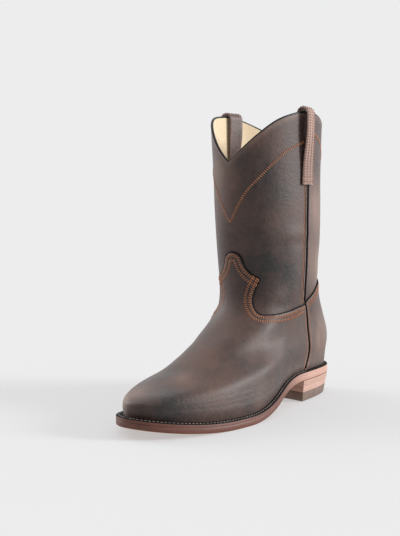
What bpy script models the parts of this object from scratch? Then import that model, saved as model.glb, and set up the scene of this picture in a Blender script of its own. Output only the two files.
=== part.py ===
"""Roper boot for the left foot, standing on its sole.

Metres, +Z up. The toe points to -Y, the heel to +Y, the outer (lateral) side of
the foot is +X. The floor is z = 0 and the origin lies under the middle of the boot.

The upper is one function of two numbers. The turn runs round the foot: 0 at the
back seam, 0.25 on the lateral side, 0.5 at the toe, 0.75 on the medial side. The
level runs up the last, from 0 at the welt to LAST_LEVEL above the collar.
"""

from math import pi, radians

import bmesh
import bpy
import numpy as np

# Sole
SOLE_LENGTH = 0.300
SOLE_WIDTH = 0.104
OUTSOLE_THICKNESS = 0.0055
WELT_THICKNESS = 0.0033
TOE_SPRING = 0.0095
TOE_SPRING_CURVE = 1.8
TREAD_FLAT = 0.022
SHANK_END = 0.004
SPINE_X = -0.0007

# Width of the welt that shows beside the upper
HEEL_RIM = 0.0040
WAIST_RIM = 0.0042
BALL_RIM = 0.0052
TOE_RIM = 0.0070

# Heel
HEEL_HEIGHT = 0.0215
HEEL_LENGTH = 0.082
HEEL_CAP_THICKNESS = 0.0092
HEEL_TAPER_BACK = 0.0055
HEEL_TAPER_SIDE = 0.0020
HEEL_BREAST_BOW = 0.0030

# Upper
INSTEP_HEIGHT = 0.090
SHAFT_HEIGHT = 0.258
SHAFT_WIDTH = 0.894 * SOLE_WIDTH
WALL = 0.0024
OVERLAY = 0.0015
INSOLE_RISE = 0.0030
JOIN_SHARE = 0.85

# Trims
PIPING_DIAMETER = 0.0022
BINDING_HEIGHT = 0.0016
BINDING_LIP = 0.0004
STRAP_WIDTH = 0.0172
STRAP_THICKNESS = 0.0022
STRAP_DROP = 0.070
STRAP_INNER_DROP = 0.060
STRAP_RISE = 0.0031
STRAP_STAND = 0.0034
STRAP_FLAT_SHARE = 0.12
STRAP_RAMP_SHARE = 0.75
STRAP_TWIST = radians(11)

# Clearance between pieces that touch
GAP = 0.0003

# Level up to which the upper follows the welt's curve, and level under which its
# wall is square to the welt
SETTLE_LEVEL = 4.0
FLAT_LEVEL = 0.6

# Sole outline: place along the sole from the heel, and the lateral and medial half widths,
# as shares of the sole's length and width
SOLE_OUTLINE = [
    (0.000, 0.000, 0.000),
    (0.018, 0.150, 0.140),
    (0.065, 0.270, 0.250),
    (0.135, 0.330, 0.300),
    (0.217, 0.361, 0.312),
    (0.310, 0.388, 0.300),
    (0.406, 0.438, 0.262),
    (0.486, 0.503, 0.301),
    (0.560, 0.540, 0.367),
    (0.640, 0.546, 0.430),
    (0.715, 0.529, 0.453),
    (0.800, 0.479, 0.440),
    (0.870, 0.405, 0.378),
    (0.925, 0.320, 0.290),
    (0.965, 0.225, 0.195),
    (0.990, 0.120, 0.100),
    (1.000, 0.000, 0.000),
]
BALL_SHARE = 0.683

# Sections of the foot, from the welt to the instep, one level each:
# back reach and height, front reach and height, half width and end of the heel's round,
# lateral and medial half widths, place of the widest point, share of the sole's own
# outline, lean to the lateral side. Reaches are shares of the feather line's ends,
# heights of INSTEP_HEIGHT, places of the ring's length, the rest of SOLE_WIDTH.
FOOT_SECTIONS = [
    (1.000, 0.000, 1.000, 0.000, 0.340, 0.14, 0.476, 0.394, 0.60, 1.00, 0.000),
    (1.010, 0.111, 1.010, 0.111, 0.340, 0.14, 0.476, 0.394, 0.60, 1.03, 0.000),
    (1.026, 0.222, 0.995, 0.137, 0.341, 0.14, 0.476, 0.386, 0.60, 0.85, 0.000),
    (1.018, 0.333, 0.952, 0.184, 0.338, 0.15, 0.462, 0.358, 0.57, 0.50, 0.003),
    (0.997, 0.444, 0.858, 0.209, 0.330, 0.16, 0.425, 0.328, 0.53, 0.20, 0.005),
    (0.966, 0.556, 0.713, 0.283, 0.324, 0.18, 0.392, 0.322, 0.50, 0.00, 0.006),
    (0.932, 0.667, 0.530, 0.389, 0.329, 0.21, 0.374, 0.332, 0.46, 0.00, 0.006),
    (0.895, 0.800, 0.325, 0.550, 0.343, 0.27, 0.378, 0.349, 0.45, 0.00, 0.005),
    (0.856, 0.956, 0.113, 0.735, 0.375, 0.36, 0.400, 0.382, 0.46, 0.00, 0.003),
]

# Sections of the shaft in the same columns. Heights are shares of the way from
# INSTEP_HEIGHT to SHAFT_HEIGHT, widths and lean are shares of SHAFT_WIDTH.
SHAFT_SECTIONS = [
    (0.832, 0.070, -0.008, -0.008, 0.462, 0.45, 0.478, 0.468, 0.48, 0.00, -0.004),
    (0.834, 0.187, -0.022, 0.187, 0.490, 0.50, 0.498, 0.480, 0.50, 0.00, -0.017),
    (0.844, 0.339, 0.000, 0.351, 0.490, 0.50, 0.503, 0.472, 0.50, 0.00, -0.021),
    (0.851, 0.526, 0.020, 0.526, 0.490, 0.50, 0.508, 0.476, 0.50, 0.00, -0.021),
    (0.858, 0.713, 0.030, 0.713, 0.490, 0.50, 0.506, 0.486, 0.50, 0.00, -0.020),
    (0.887, 1.020, 0.074, 1.090, 0.490, 0.50, 0.500, 0.500, 0.50, 0.00, -0.016),
]
LAST_LEVEL = len(FOOT_SECTIONS) + len(SHAFT_SECTIONS) - 1
BACK_ROUNDNESS = 2.1
FRONT_ROUNDNESS = 2.1

# Collar: way from the back (0) to the front (1), lateral and medial heights above the
# heel seat as shares of SHAFT_HEIGHT
COLLAR = [
    (0.00, 0.862, 0.862),
    (0.12, 0.908, 0.900),
    (0.25, 0.956, 0.943),
    (0.36, 0.984, 0.974),
    (0.50, 0.995, 0.995),
    (0.62, 0.975, 0.989),
    (0.70, 0.951, 0.975),
    (0.78, 0.914, 0.950),
    (0.87, 0.868, 0.908),
    (0.93, 0.837, 0.862),
    (1.00, 0.804, 0.804),
]

# Side seam: level, and its turn on the lateral side
SEAM = [
    (0.0, 0.165),
    (1.4, 0.158),
    (3.4, 0.160),
    (4.6, 0.164),
    (5.6, 0.170),
    (6.6, 0.181),
    (7.4, 0.200),
    (8.1, 0.228),
    (8.9, 0.251),
    (9.9, 0.256),
    (11.5, 0.253),
    (14.0, 0.250),
]

# Top edge of the vamp, from the seam up to the top of the tongue: turn and level
TONGUE_EDGE = [
    (0.218, 7.63),
    (0.248, 7.73),
    (0.282, 7.81),
    (0.338, 8.05),
    (0.385, 8.30),
    (0.411, 8.55),
    (0.429, 8.86),
    (0.432, 9.14),
    (0.423, 9.40),
    (0.413, 9.58),
    (0.435, 9.70),
    (0.460, 9.93),
    (0.471, 10.22),
    (0.480, 10.37),
    (0.500, 10.46),
]

# Top edge of the counter, from the seam to the back: turn and level
COUNTER_EDGE = [
    (0.202, 7.70),
    (0.196, 7.84),
    (0.181, 7.99),
    (0.168, 8.14),
    (0.148, 8.32),
    (0.118, 8.44),
    (0.070, 8.51),
    (0.000, 8.54),
]

# Level under which the upper is drawn in to carry the overlays, and the level where
# it meets the full form again
LAP_FULL_LEVEL = 8.0
LAP_END_LEVEL = 11.2

# Mesh density
TURN_STEPS = 48
FOOT_STEPS = 18
SHAFT_STEPS = 6
SOLE_STEPS = 44
STATION_SHARE = 0.3
WELT_STEPS = 72
HEEL_STEPS = 28
BREAST_STEPS = 8
STRAP_LEG_STEPS = 8
STRAP_ARCH_STEPS = 10
PIPING_POINTS = 26
SEAM_POINTS = 18
SHARP_ANGLE = 0.7

# Sampling of curves before they are spaced out, and the step used for slopes
OUTLINE_SAMPLES = 1441
LEVEL_SAMPLES = 400
ABOVE_COLLAR = 0.5
NUDGE = 0.002

# Pattern space, where the overlays are cut: one level's share of a turn, also the slab's depth
PATTERN_LEVEL = 0.1
PATTERN_WELD = 0.00002
BELOW_WELT = -0.5
CORNER_LEVELS = 0.15
CELL_ROUNDING = 0.001

COLOURS = {
    "leather": (0.060, 0.042, 0.038),
    "trim": (0.012, 0.011, 0.012),
    "insole": (0.560, 0.400, 0.240),
    "welt": (0.035, 0.020, 0.016),
    "sole_leather": (0.400, 0.200, 0.130),
    "heel_rubber": (0.090, 0.070, 0.062),
}
ROUGHNESS = {
    "leather": 0.55,
    "trim": 0.40,
    "insole": 0.75,
    "welt": 0.55,
    "sole_leather": 0.45,
    "heel_rubber": 0.70,
}


def spline(knots, values, at):
    """Natural cubic spline through rows of values."""
    x = np.asarray(knots, float)
    y = np.asarray(values, float)
    step = np.diff(x)[:, None]
    system = np.eye(len(x))
    right = np.zeros_like(y)
    for row in range(1, len(x) - 1):
        system[row, row - 1] = step[row - 1, 0]
        system[row, row] = 2 * (step[row - 1, 0] + step[row, 0])
        system[row, row + 1] = step[row, 0]
        rise = (y[row + 1] - y[row]) / step[row] - (y[row] - y[row - 1]) / step[row - 1]
        right[row] = 6 * rise
    bend = np.linalg.solve(system, right)
    at = np.asarray(at, float)
    low = np.clip(np.searchsorted(x, at, side="right") - 1, 0, len(x) - 2)
    width = step[low]
    past = (at - x[low])[..., None]
    left = width - past
    curve = (bend[low] * left**3 + bend[low + 1] * past**3) / (6 * width)
    start = (y[low] / width - bend[low] * width / 6) * left
    end = (y[low + 1] / width - bend[low + 1] * width / 6) * past
    return curve + start + end


def share_of(turn):
    """Share of a ring's length from the back that a turn stands at."""
    return (1 - np.cos(2 * pi * np.asarray(turn))) / 2


def turn_of(share):
    """Turn on the lateral side that stands at a share of the length."""
    return np.arccos(1 - 2 * np.clip(share, 0, 1)) / (2 * pi)


def smooth(value):
    """Ramp from 0 to 1 with soft ends."""
    value = np.clip(value, 0, 1)
    return value * value * (3 - 2 * value)


def outline_x(turn):
    """Signed half width of the sole at a turn."""
    rows = np.array(SOLE_OUTLINE)
    lateral = turn_of(rows[:, 0])
    turns = np.r_[lateral, 1 - lateral[-2:0:-1]]
    widths = np.r_[rows[:, 1], -rows[-2:0:-1, 2]]
    turns = np.r_[turns - 1, turns, turns + 1]
    widths = np.r_[widths, widths, widths]
    return spline(turns, widths[:, None], np.asarray(turn) % 1.0)[..., 0] * SOLE_WIDTH


def sole_edge(turn, inset=0.0):
    """Point in plan on the sole's outline, moved inwards square to it."""
    turn = np.asarray(turn, float)

    def on_outline(place):
        return np.stack([outline_x(place), SOLE_LENGTH * (0.5 - share_of(place))], -1)

    point = on_outline(turn)
    along = on_outline(turn + NUDGE) - on_outline(turn - NUDGE)
    along /= np.linalg.norm(along, axis=-1, keepdims=True)
    outward = np.stack([-along[..., 1], along[..., 0]], -1)
    point = point - outward * (np.zeros(turn.shape) + inset)[..., None]
    point[..., 0] += SPINE_X
    return point


def breast_y():
    """Place of the heel's front face."""
    return SOLE_LENGTH / 2 - HEEL_LENGTH


def ball_y():
    """Middle of the flat under the ball of the foot."""
    return SOLE_LENGTH * (0.5 - BALL_SHARE)


def tread_z(y):
    """Height of the outsole's underside."""
    front_flat = ball_y() - TREAD_FLAT / 2
    back_flat = ball_y() + TREAD_FLAT / 2
    toe = np.clip((front_flat - y) / (front_flat + SOLE_LENGTH / 2), 0, 1)
    shank = smooth((y - back_flat) / (breast_y() - SHANK_END - back_flat))
    return TOE_SPRING * toe**TOE_SPRING_CURVE + HEEL_HEIGHT * shank


def seat_z(y):
    """Height of the welt's top, on which the upper stands."""
    return tread_z(y) + OUTSOLE_THICKNESS + WELT_THICKNESS


def rim(turn):
    """Width of welt that shows at a turn."""
    places = [0.0, 0.15, 0.4, 0.7, 1.0]
    rims = [HEEL_RIM, HEEL_RIM, WAIST_RIM, BALL_RIM, TOE_RIM]
    return np.interp(share_of(turn), places, rims)


def inset_outline(inset, share):
    """The sole's outline moved inwards, at shares of its own length: y, lateral x and medial x."""
    dense = np.linspace(0, 1, OUTLINE_SAMPLES)
    line = sole_edge(dense, inset(dense))
    half = len(dense) // 2
    length = line[0, 1] - line[half, 1]
    # square roots spread the places evenly round the two tips
    place = np.sqrt(np.clip((line[0, 1] - line[:, 1]) / length, 0, 1))
    wanted = np.sqrt(share)
    lateral = np.interp(wanted, place[: half + 1], line[: half + 1, 0])
    medial = np.interp(wanted, place[half:][::-1], line[half:, 0][::-1])
    return line[0, 1] - length * share, lateral, medial


def feather_x(turn):
    """Signed half width of the upper's lowest ring at a turn."""
    _, lateral, medial = inset_outline(rim, share_of(turn))
    return np.where(np.asarray(turn) % 1.0 <= 0.5, lateral, medial) - SPINE_X


def sections():
    """Rows of the last in metres: the two section tables turned into real sizes."""
    heel_end = SOLE_LENGTH / 2 - HEEL_RIM
    toe_end = -(SOLE_LENGTH / 2 - TOE_RIM)
    rows = []
    for table, low, high, width in (
        (FOOT_SECTIONS, 0.0, INSTEP_HEIGHT, SOLE_WIDTH),
        (SHAFT_SECTIONS, INSTEP_HEIGHT, SHAFT_HEIGHT, SHAFT_WIDTH),
    ):
        for row in table:
            back, back_up, front, front_up, heel, heel_end_place, lateral, medial, widest, outline, lean = row
            rows.append((
                back * heel_end,
                low + back_up * (high - low),
                front * toe_end,
                low + front_up * (high - low),
                heel * width,
                heel_end_place,
                lateral * width,
                medial * width,
                widest,
                outline,
                SPINE_X + lean * width,
            ))
    return np.array(rows)


def quarter(across, power):
    """Quarter of a rounded end: 1 where across is 0, down to 0 where it is 1."""
    return np.clip(1 - np.clip(across, 0, 1) ** power, 0, None) ** (1 / power)


def last_point(turn, level):
    """Point on the outside of the finished boot's upper."""
    turn, level = np.broadcast_arrays(np.asarray(turn, float) % 1.0, np.asarray(level, float))
    rows = sections()
    columns = np.moveaxis(spline(np.arange(len(rows)), rows, level), -1, 0)
    back, back_up, front, front_up, heel, heel_place, lateral, medial, widest, outline, spine = columns
    share = share_of(turn)
    y = back + (front - back) * share
    heel_seat = seat_z(SOLE_LENGTH / 2 - HEEL_RIM)
    toe_seat = seat_z(TOE_RIM - SOLE_LENGTH / 2)
    base = heel_seat + (toe_seat - heel_seat) * share
    settle = np.clip(1 - level / SETTLE_LEVEL, 0, 1) ** 2
    z = GAP + base + back_up + (front_up - back_up) * share + (seat_z(y) - base) * settle
    # The heel's round, the straight side and the round of the toe or instep
    heel_place = np.minimum(heel_place, widest)
    side = np.where(turn <= 0.5, lateral, medial)
    # On the shaft the two rounds meet and the heel takes the side's width
    heel = heel + (side - heel) * np.clip((heel_place / widest - JOIN_SHARE) / (1 - JOIN_SHARE), 0, 1)
    behind = heel * quarter((heel_place - share) / heel_place, BACK_ROUNDNESS)
    along = smooth((share - heel_place) / np.maximum(widest - heel_place, 1e-6))
    before = side * quarter((share - widest) / (1 - widest), FRONT_ROUNDNESS)
    half = np.where(share < heel_place, behind, np.where(share < widest, heel + (side - heel) * along, before))
    half = np.where(turn <= 0.5, half, -half)
    x = spine + half * (1 - np.clip(outline, 0, 1)) + feather_x(turn) * np.clip(outline, 0, None)
    return np.stack([x, y, z], -1)


def outward(turn, level):
    """Unit normal of the upper, laid flat where it stands on the welt."""
    round_it = last_point(turn + NUDGE, level) - last_point(turn - NUDGE, level)
    up_it = last_point(turn, level + NUDGE) - last_point(turn, level - NUDGE)
    normal = np.cross(up_it, round_it)
    normal /= np.linalg.norm(normal, axis=-1, keepdims=True)
    normal[..., 2] *= np.clip(np.asarray(level) / FLAT_LEVEL, 0, 1)
    return normal / np.linalg.norm(normal, axis=-1, keepdims=True)


def lap(level):
    """How far the upper is drawn in under the vamp and the counter."""
    above = smooth((np.asarray(level) - LAP_FULL_LEVEL) / (LAP_END_LEVEL - LAP_FULL_LEVEL))
    return (OVERLAY + GAP) * (1 - above)


def upper_point(turn, level, proud=0.0):
    """Point on the upper's outer face, moved outwards by proud."""
    turn, level = np.broadcast_arrays(np.asarray(turn, float), np.asarray(level, float))
    point = last_point(turn, level)
    moved = point + outward(turn, level) * (proud - lap(level))[..., None]
    settle = np.clip(1 - level / SETTLE_LEVEL, 0, 1) ** 2
    moved[..., 2] += (seat_z(moved[..., 1]) - seat_z(point[..., 1])) * settle
    return moved


def collar_level(turn):
    """Level at which the upper is cut for the collar."""
    turn = np.atleast_1d(np.asarray(turn, float)) % 1.0
    rows = np.array(COLLAR)
    way = 1 - np.abs(1 - 2 * turn)
    heights = spline(rows[:, 0], rows[:, 1:], way)
    wanted = np.where(turn <= 0.5, heights[:, 0], heights[:, 1]) * SHAFT_HEIGHT
    wanted = wanted + seat_z(SOLE_LENGTH / 2)
    levels = np.linspace(LAP_END_LEVEL, LAST_LEVEL + ABOVE_COLLAR, LEVEL_SAMPLES)
    heights_up = last_point(turn[:, None], levels[None, :])[..., 2]
    return np.array([np.interp(z, row, levels) for z, row in zip(wanted, heights_up)])


def seam_turn(level):
    """Turn of the lateral side seam; the medial one mirrors it."""
    rows = np.array(SEAM)
    return spline(rows[:, 0], rows[:, 1:], level)[..., 0]


def turns_across(distance, turn, level):
    """Turn that a distance round the upper takes."""
    span = upper_point(turn + NUDGE, level) - upper_point(turn - NUDGE, level)
    return distance * 2 * NUDGE / np.linalg.norm(span, axis=-1)


def material(name):
    """Principled material of one finish."""
    made = bpy.data.materials.get(name)
    if made is None:
        made = bpy.data.materials.new(name)
        made.use_nodes = True
        shader = made.node_tree.nodes["Principled BSDF"]
        shader.inputs["Base Color"].default_value = (*COLOURS[name], 1.0)
        shader.inputs["Roughness"].default_value = ROUGHNESS[name]
    return made


def add_object(name, mesh, finish, collection):
    """Put a mesh in the boot's collection with its material."""
    item = bpy.data.objects.new(name, mesh)
    item.data.materials.clear()
    item.data.materials.append(material(finish))
    item.data.shade_smooth()
    item.data.set_sharp_from_angle(angle=SHARP_ANGLE)
    collection.objects.link(item)
    return item


def mesh_from(name, points, faces):
    """Mesh with its faces turned outwards."""
    mesh = bpy.data.meshes.new(name)
    mesh.from_pydata([tuple(map(float, point)) for point in points], [], faces)
    work = bmesh.new()
    work.from_mesh(mesh)
    bmesh.ops.recalc_face_normals(work, faces=work.faces)
    work.to_mesh(mesh)
    work.free()
    return mesh


def loft(rings):
    """Closed rings of points joined side by side, with both ends capped."""
    count = len(rings[0])
    points = np.concatenate(rings)
    faces = [list(range(count)), list(range((len(rings) - 1) * count, len(rings) * count))]
    for ring in range(len(rings) - 1):
        for place in range(count):
            after = (place + 1) % count
            low = ring * count
            faces.append([low + place, low + after, low + count + after, low + count + place])
    return points, faces


def hoop(sections_round):
    """Closed sections joined one to the next all the way round, in triangles."""
    sections_round = np.asarray(sections_round)
    total, count = sections_round.shape[:2]
    faces = []
    for ring in range(total):
        following = (ring + 1) % total
        for place in range(count):
            after = (place + 1) % count
            start = ring * count + place
            across = following * count + after
            faces.append([start, following * count + place, across])
            faces.append([start, across, ring * count + after])
    return sections_round.reshape(-1, 3), faces


def upper_rows():
    """Levels of each row of the upper, one line for each turn."""
    turns = np.arange(TURN_STEPS) / TURN_STEPS
    foot = np.linspace(0, LAP_END_LEVEL, FOOT_STEPS + 1)
    shaft = np.linspace(0, 1, SHAFT_STEPS + 1)[1:]
    top = collar_level(turns)[:, None]
    levels = np.hstack([
        np.broadcast_to(foot, (TURN_STEPS, len(foot))),
        LAP_END_LEVEL + (top - LAP_END_LEVEL) * shaft,
    ])
    return turns[:, None], levels


def make_upper(collection):
    """Hollow shell from the welt to the collar, open above and below."""
    turns, levels = upper_rows()
    outer = upper_point(turns, levels)
    inner = upper_point(turns, levels, -WALL)
    wall = np.concatenate([outer, inner[:, ::-1]], axis=1)
    points, faces = hoop(wall)
    add_object("upper", mesh_from("upper", points, faces), "leather", collection)


def pattern_blank(outline):
    """Flat slab of pattern space, with the upper's own grid lines: x is turn, y is level."""
    blank = bmesh.new()
    turns, levels = np.array(outline).T
    level_step = LAP_END_LEVEL / FOOT_STEPS
    first = int(np.floor(turns.min() * TURN_STEPS))
    last = int(np.ceil(turns.max() * TURN_STEPS))
    level_rows = int(np.ceil(levels.max() / level_step))
    grid = [
        [
            blank.verts.new((column / TURN_STEPS, row * level_step * PATTERN_LEVEL, 0))
            for row in range(level_rows + 1)
        ]
        for column in range(first, last + 1)
    ]
    for left, right in zip(grid[:-1], grid[1:]):
        for low in range(level_rows):
            blank.faces.new((left[low], right[low], right[low + 1]))
            blank.faces.new((left[low], right[low + 1], left[low + 1]))
    top = bmesh.ops.extrude_face_region(blank, geom=blank.faces[:])
    raised = [item for item in top["geom"] if isinstance(item, bmesh.types.BMVert)]
    bmesh.ops.translate(blank, verts=raised, vec=(0, 0, PATTERN_LEVEL))
    bmesh.ops.recalc_face_normals(blank, faces=blank.faces)
    mesh = bpy.data.meshes.new("pattern_blank")
    blank.to_mesh(mesh)
    blank.free()
    return mesh


def wrap(turn, level, proud):
    """Point on the upper's own facets, moved outwards, so that an overlay lies flat on them."""
    column = turn * TURN_STEPS
    row = level * FOOT_STEPS / LAP_END_LEVEL
    left = np.floor(column + CELL_ROUNDING)
    low = np.floor(row + CELL_ROUNDING)
    across = (column - left)[:, None]
    up = (row - low)[:, None]

    def corner(columns_on, rows_on):
        place = (left + columns_on) / TURN_STEPS
        return upper_point(place, (low + rows_on) * LAP_END_LEVEL / FOOT_STEPS, proud)

    start, end = corner(0, 0), corner(1, 1)
    lower = start + across * (corner(1, 0) - start) + up * (end - corner(1, 0))
    upper = start + up * (corner(0, 1) - start) + across * (end - corner(0, 1))
    return np.where(across >= up, lower, upper)


def cut_pattern(name, outline, finish, collection, cutters):
    """Overlay cut to its outline in pattern space and wrapped on the upper."""
    blank = bpy.data.objects.new(name + "_blank", pattern_blank(outline))
    cutters.objects.link(blank)
    low = [(turn, level * PATTERN_LEVEL, -PATTERN_LEVEL / 2) for turn, level in outline]
    high = [(turn, level * PATTERN_LEVEL, PATTERN_LEVEL * 3 / 2) for turn, level in outline]
    points, faces = loft([np.array(low), np.array(high)])
    knife = bpy.data.objects.new(name + "_knife", mesh_from(name + "_knife", points, faces))
    cutters.objects.link(knife)
    cut = blank.modifiers.new("cut", "BOOLEAN")
    cut.operation = "INTERSECT"
    cut.object = knife
    bpy.context.view_layer.update()
    evaluated = blank.evaluated_get(bpy.context.evaluated_depsgraph_get())
    mesh = bpy.data.meshes.new_from_object(evaluated)
    flat = np.array([vertex.co for vertex in mesh.vertices])
    proud = np.where(flat[:, 2] > PATTERN_LEVEL / 2, GAP + OVERLAY, GAP)
    wrapped = wrap(flat[:, 0], flat[:, 1] / PATTERN_LEVEL, proud)
    mesh.vertices.foreach_set("co", wrapped.astype(np.float32).ravel())
    work = bmesh.new()
    work.from_mesh(mesh)
    bmesh.ops.remove_doubles(work, verts=work.verts, dist=PATTERN_WELD)
    bmesh.ops.recalc_face_normals(work, faces=work.faces)
    work.to_mesh(mesh)
    work.free()
    mesh.name = name
    bpy.data.objects.remove(blank)
    bpy.data.objects.remove(knife)
    add_object(name, mesh, finish, collection)


def seam_side(top_edge, side):
    """Seam edge of an overlay up to its top edge, clear of the piping: side 1 in front, -1 behind."""
    corner = top_edge[0][1]
    levels = np.append(np.linspace(BELOW_WELT, corner - CORNER_LEVELS, SEAM_POINTS), corner)
    turns = seam_turn(levels)
    clear = turns_across(PIPING_DIAMETER / 2 + GAP * 2, turns, levels)
    return list(zip(turns + side * clear, levels))


def make_vamp(collection, cutters):
    """Overlay from seam to seam over the toe, with the tongue up the front."""
    lateral = seam_side(TONGUE_EDGE, 1) + TONGUE_EDGE[1:]
    medial = [(1 - turn, level) for turn, level in lateral[-2::-1]]
    cut_pattern("vamp", lateral + medial, "leather", collection, cutters)


def make_counter(collection, cutters):
    """Overlay round the heel from seam to seam."""
    lateral = seam_side(COUNTER_EDGE, -1) + COUNTER_EDGE[1:]
    medial = [(-turn, level) for turn, level in lateral[-2::-1]]
    cut_pattern("counter", lateral + medial, "leather", collection, cutters)


def strap_frame(side):
    """Place of a pull strap: the seam's turn, the collar's level and point there, and outwards."""
    lateral = seam_turn(np.array(LAST_LEVEL))
    turn = lateral if side > 0 else 1 - lateral
    top_level = collar_level(turn)[0]
    out = outward(turn, top_level) * (1, 1, 0)
    return turn, top_level, upper_point(turn, top_level), out / np.linalg.norm(out)


def wall_reach(turn, out, heights):
    """Reach of the upper's outer face along a direction at some heights."""
    levels = np.linspace(LAP_END_LEVEL, LAST_LEVEL + ABOVE_COLLAR, LEVEL_SAMPLES)
    points = upper_point(np.full(len(levels), turn), levels)
    return np.interp(heights, points[:, 2], points @ out)


def strap_hollow(turn, level):
    """How far a flat strap stands off the hollow inside of the shaft at its middle."""
    reach = turns_across(STRAP_WIDTH / 2, turn, level)
    ends = (last_point(turn + reach, level) + last_point(turn - reach, level)) / 2
    return float(np.linalg.norm((last_point(turn, level) - ends) * (1, 1, 0)))


def strap_path(side):
    """Middle line of a pull strap, up outside, over the collar and down inside: reach, height, twist."""
    turn, top_level, top, out = strap_frame(side)
    half = STRAP_THICKNESS / 2
    seat = GAP + half
    hollow = strap_hollow(turn, top_level - 1)
    arch_reach = STRAP_STAND + seat + WALL / 2
    middle_z = top[2] + STRAP_RISE + half - arch_reach
    shares = np.linspace(0, 1, STRAP_LEG_STEPS + 1)[:-1]
    loose = smooth((shares - STRAP_FLAT_SHARE) / STRAP_RAMP_SHARE)
    legs = []
    for drop, face, rest in ((STRAP_DROP, 0.0, 0.0), (STRAP_INNER_DROP, -WALL, hollow)):
        heights = top[2] - drop + (middle_z - top[2] + drop) * shares
        stand = seat + rest + (STRAP_STAND - rest) * loose
        away = stand if face == 0 else -stand
        legs.append(np.column_stack([wall_reach(turn, out, heights) + face + away, heights, STRAP_TWIST * loose]))
    angles = np.linspace(0, pi, STRAP_ARCH_STEPS + 1)
    centre = wall_reach(turn, out, middle_z) - WALL / 2
    arch = np.column_stack([
        centre + arch_reach * np.cos(angles),
        middle_z + arch_reach * np.sin(angles),
        np.full(len(angles), STRAP_TWIST),
    ])
    return np.concatenate([legs[0], arch, legs[1][::-1]])


def make_pull_strap(name, side, collection):
    """Leather loop over the collar at a side seam, its front edge turned away from the shaft."""
    _, _, top, out = strap_frame(side)
    along = np.cross(out, (0, 0, 1))
    anchor = (top - out * (top @ out)) * (1, 1, 0)
    path = strap_path(side)
    ahead = np.gradient(path[:, :2], axis=0)
    ahead /= np.linalg.norm(ahead, axis=1, keepdims=True)
    square = np.stack([ahead[:, 1], -ahead[:, 0]], -1) * STRAP_THICKNESS / 2
    rings = []
    for (reach, height, twist), (off_reach, off_height) in zip(path, square):
        across = (along * np.cos(twist) + out * np.sin(twist) * side) * STRAP_WIDTH / 2
        ring = []
        for thick, wide in ((1, -1), (1, 1), (-1, 1), (-1, -1)):
            point = anchor + out * (reach + thick * off_reach) + across * wide
            ring.append(point + np.array((0, 0, height + thick * off_height)))
        rings.append(np.array(ring))
    points, faces = loft(rings)
    add_object(name, mesh_from(name, points, faces), "leather", collection)


def make_piping(name, side, collection):
    """Cord in the side seam, from the welt up to the pull strap."""
    _, top_level, top, _ = strap_frame(side)
    radius = PIPING_DIAMETER / 2
    levels = np.linspace(0, top_level, LEVEL_SAMPLES)
    lateral = seam_turn(levels)
    turns = lateral if side > 0 else 1 - lateral
    line = upper_point(turns, levels, GAP * 2 + radius)
    highest = top[2] - STRAP_DROP - radius
    lowest = seat_z(line[0, 1]) + GAP + radius
    line = line[(line[:, 2] < highest) & (line[:, 2] > lowest)]
    line = line[np.linspace(0, len(line) - 1, PIPING_POINTS).round().astype(int)]
    curve = bpy.data.curves.new(name, "CURVE")
    curve.dimensions = "3D"
    curve.bevel_depth = radius
    curve.bevel_resolution = 1
    curve.use_fill_caps = True
    run = curve.splines.new("POLY")
    run.points.add(len(line) - 1)
    for point, place in zip(run.points, line):
        point.co = (*place, 1)
    cord = bpy.data.objects.new(name, curve)
    cord.data.materials.append(material("trim"))
    collection.objects.link(cord)


def make_binding(collection):
    """Rolled bead on the rim of the collar."""
    turns = np.arange(TURN_STEPS) / TURN_STEPS
    levels = collar_level(turns)
    outer = upper_point(turns, levels)
    inner = upper_point(turns, levels, -WALL)
    out = outer - inner
    out[:, 2] = 0
    out /= np.linalg.norm(out, axis=1, keepdims=True)
    middle = (outer + inner) / 2
    base = np.maximum(outer[:, 2], inner[:, 2])
    reach = WALL / 2 + BINDING_LIP
    rows = []
    for across, up in ((1, 0), (1, 0.5), (0.5, 1), (-0.5, 1), (-1, 0.5), (-1, 0)):
        point = middle + out * reach * across
        point[:, 2] = base + GAP + BINDING_HEIGHT * up
        rows.append(point)
    points, faces = hoop(np.stack(rows, axis=1))
    add_object("collar_binding", mesh_from("collar_binding", points, faces), "trim", collection)


def plate_turns():
    """Turns of the stations of a sole plate, with the flat's two ends among them."""
    even = np.linspace(0, 0.5, SOLE_STEPS + 1)
    ends = turn_of(BALL_SHARE + np.array([-0.5, 0.5]) * TREAD_FLAT / SOLE_LENGTH)
    kept = [turn for turn in even if np.min(np.abs(ends - turn)) > STATION_SHARE * even[1]]
    return np.array(sorted([*kept, *ends]))


def make_plate(name, inset, low_z, high_z, finish, collection):
    """Plate with the sole's outline, curved along its length and straight across."""
    turns = plate_turns()
    y, lateral_x, medial_x = inset_outline(inset, share_of(turns))
    lateral = np.column_stack([lateral_x, y])
    medial = np.column_stack([medial_x, y])
    points = []
    for height in (low_z, high_z):
        for edge in (lateral, medial[1:-1]):
            points.extend((x, y, height(y)) for x, y in edge)
    count = len(turns)
    layer = 2 * count - 2
    faces = []
    for base in (0, layer):
        right = [base + count + place - 1 if 0 < place < count - 1 else base + place for place in range(count)]
        for place in range(count - 1):
            corners = [base + place, base + place + 1, right[place + 1], right[place]]
            faces.append(list(dict.fromkeys(corners)))
    rim_round = list(range(count)) + [count + place - 1 for place in range(count - 2, 0, -1)]
    for start, end in zip(rim_round, rim_round[1:] + rim_round[:1]):
        faces.append([start, end, end + layer, start + layer])
    add_object(name, mesh_from(name, points, faces), finish, collection)


def make_outsole(collection):
    """Leather outsole with its toe spring, flat tread, shank and heel seat."""
    make_plate(
        "outsole",
        lambda turns: 0.0 * turns,
        tread_z,
        lambda y: tread_z(y) + OUTSOLE_THICKNESS,
        "sole_leather",
        collection,
    )


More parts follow.
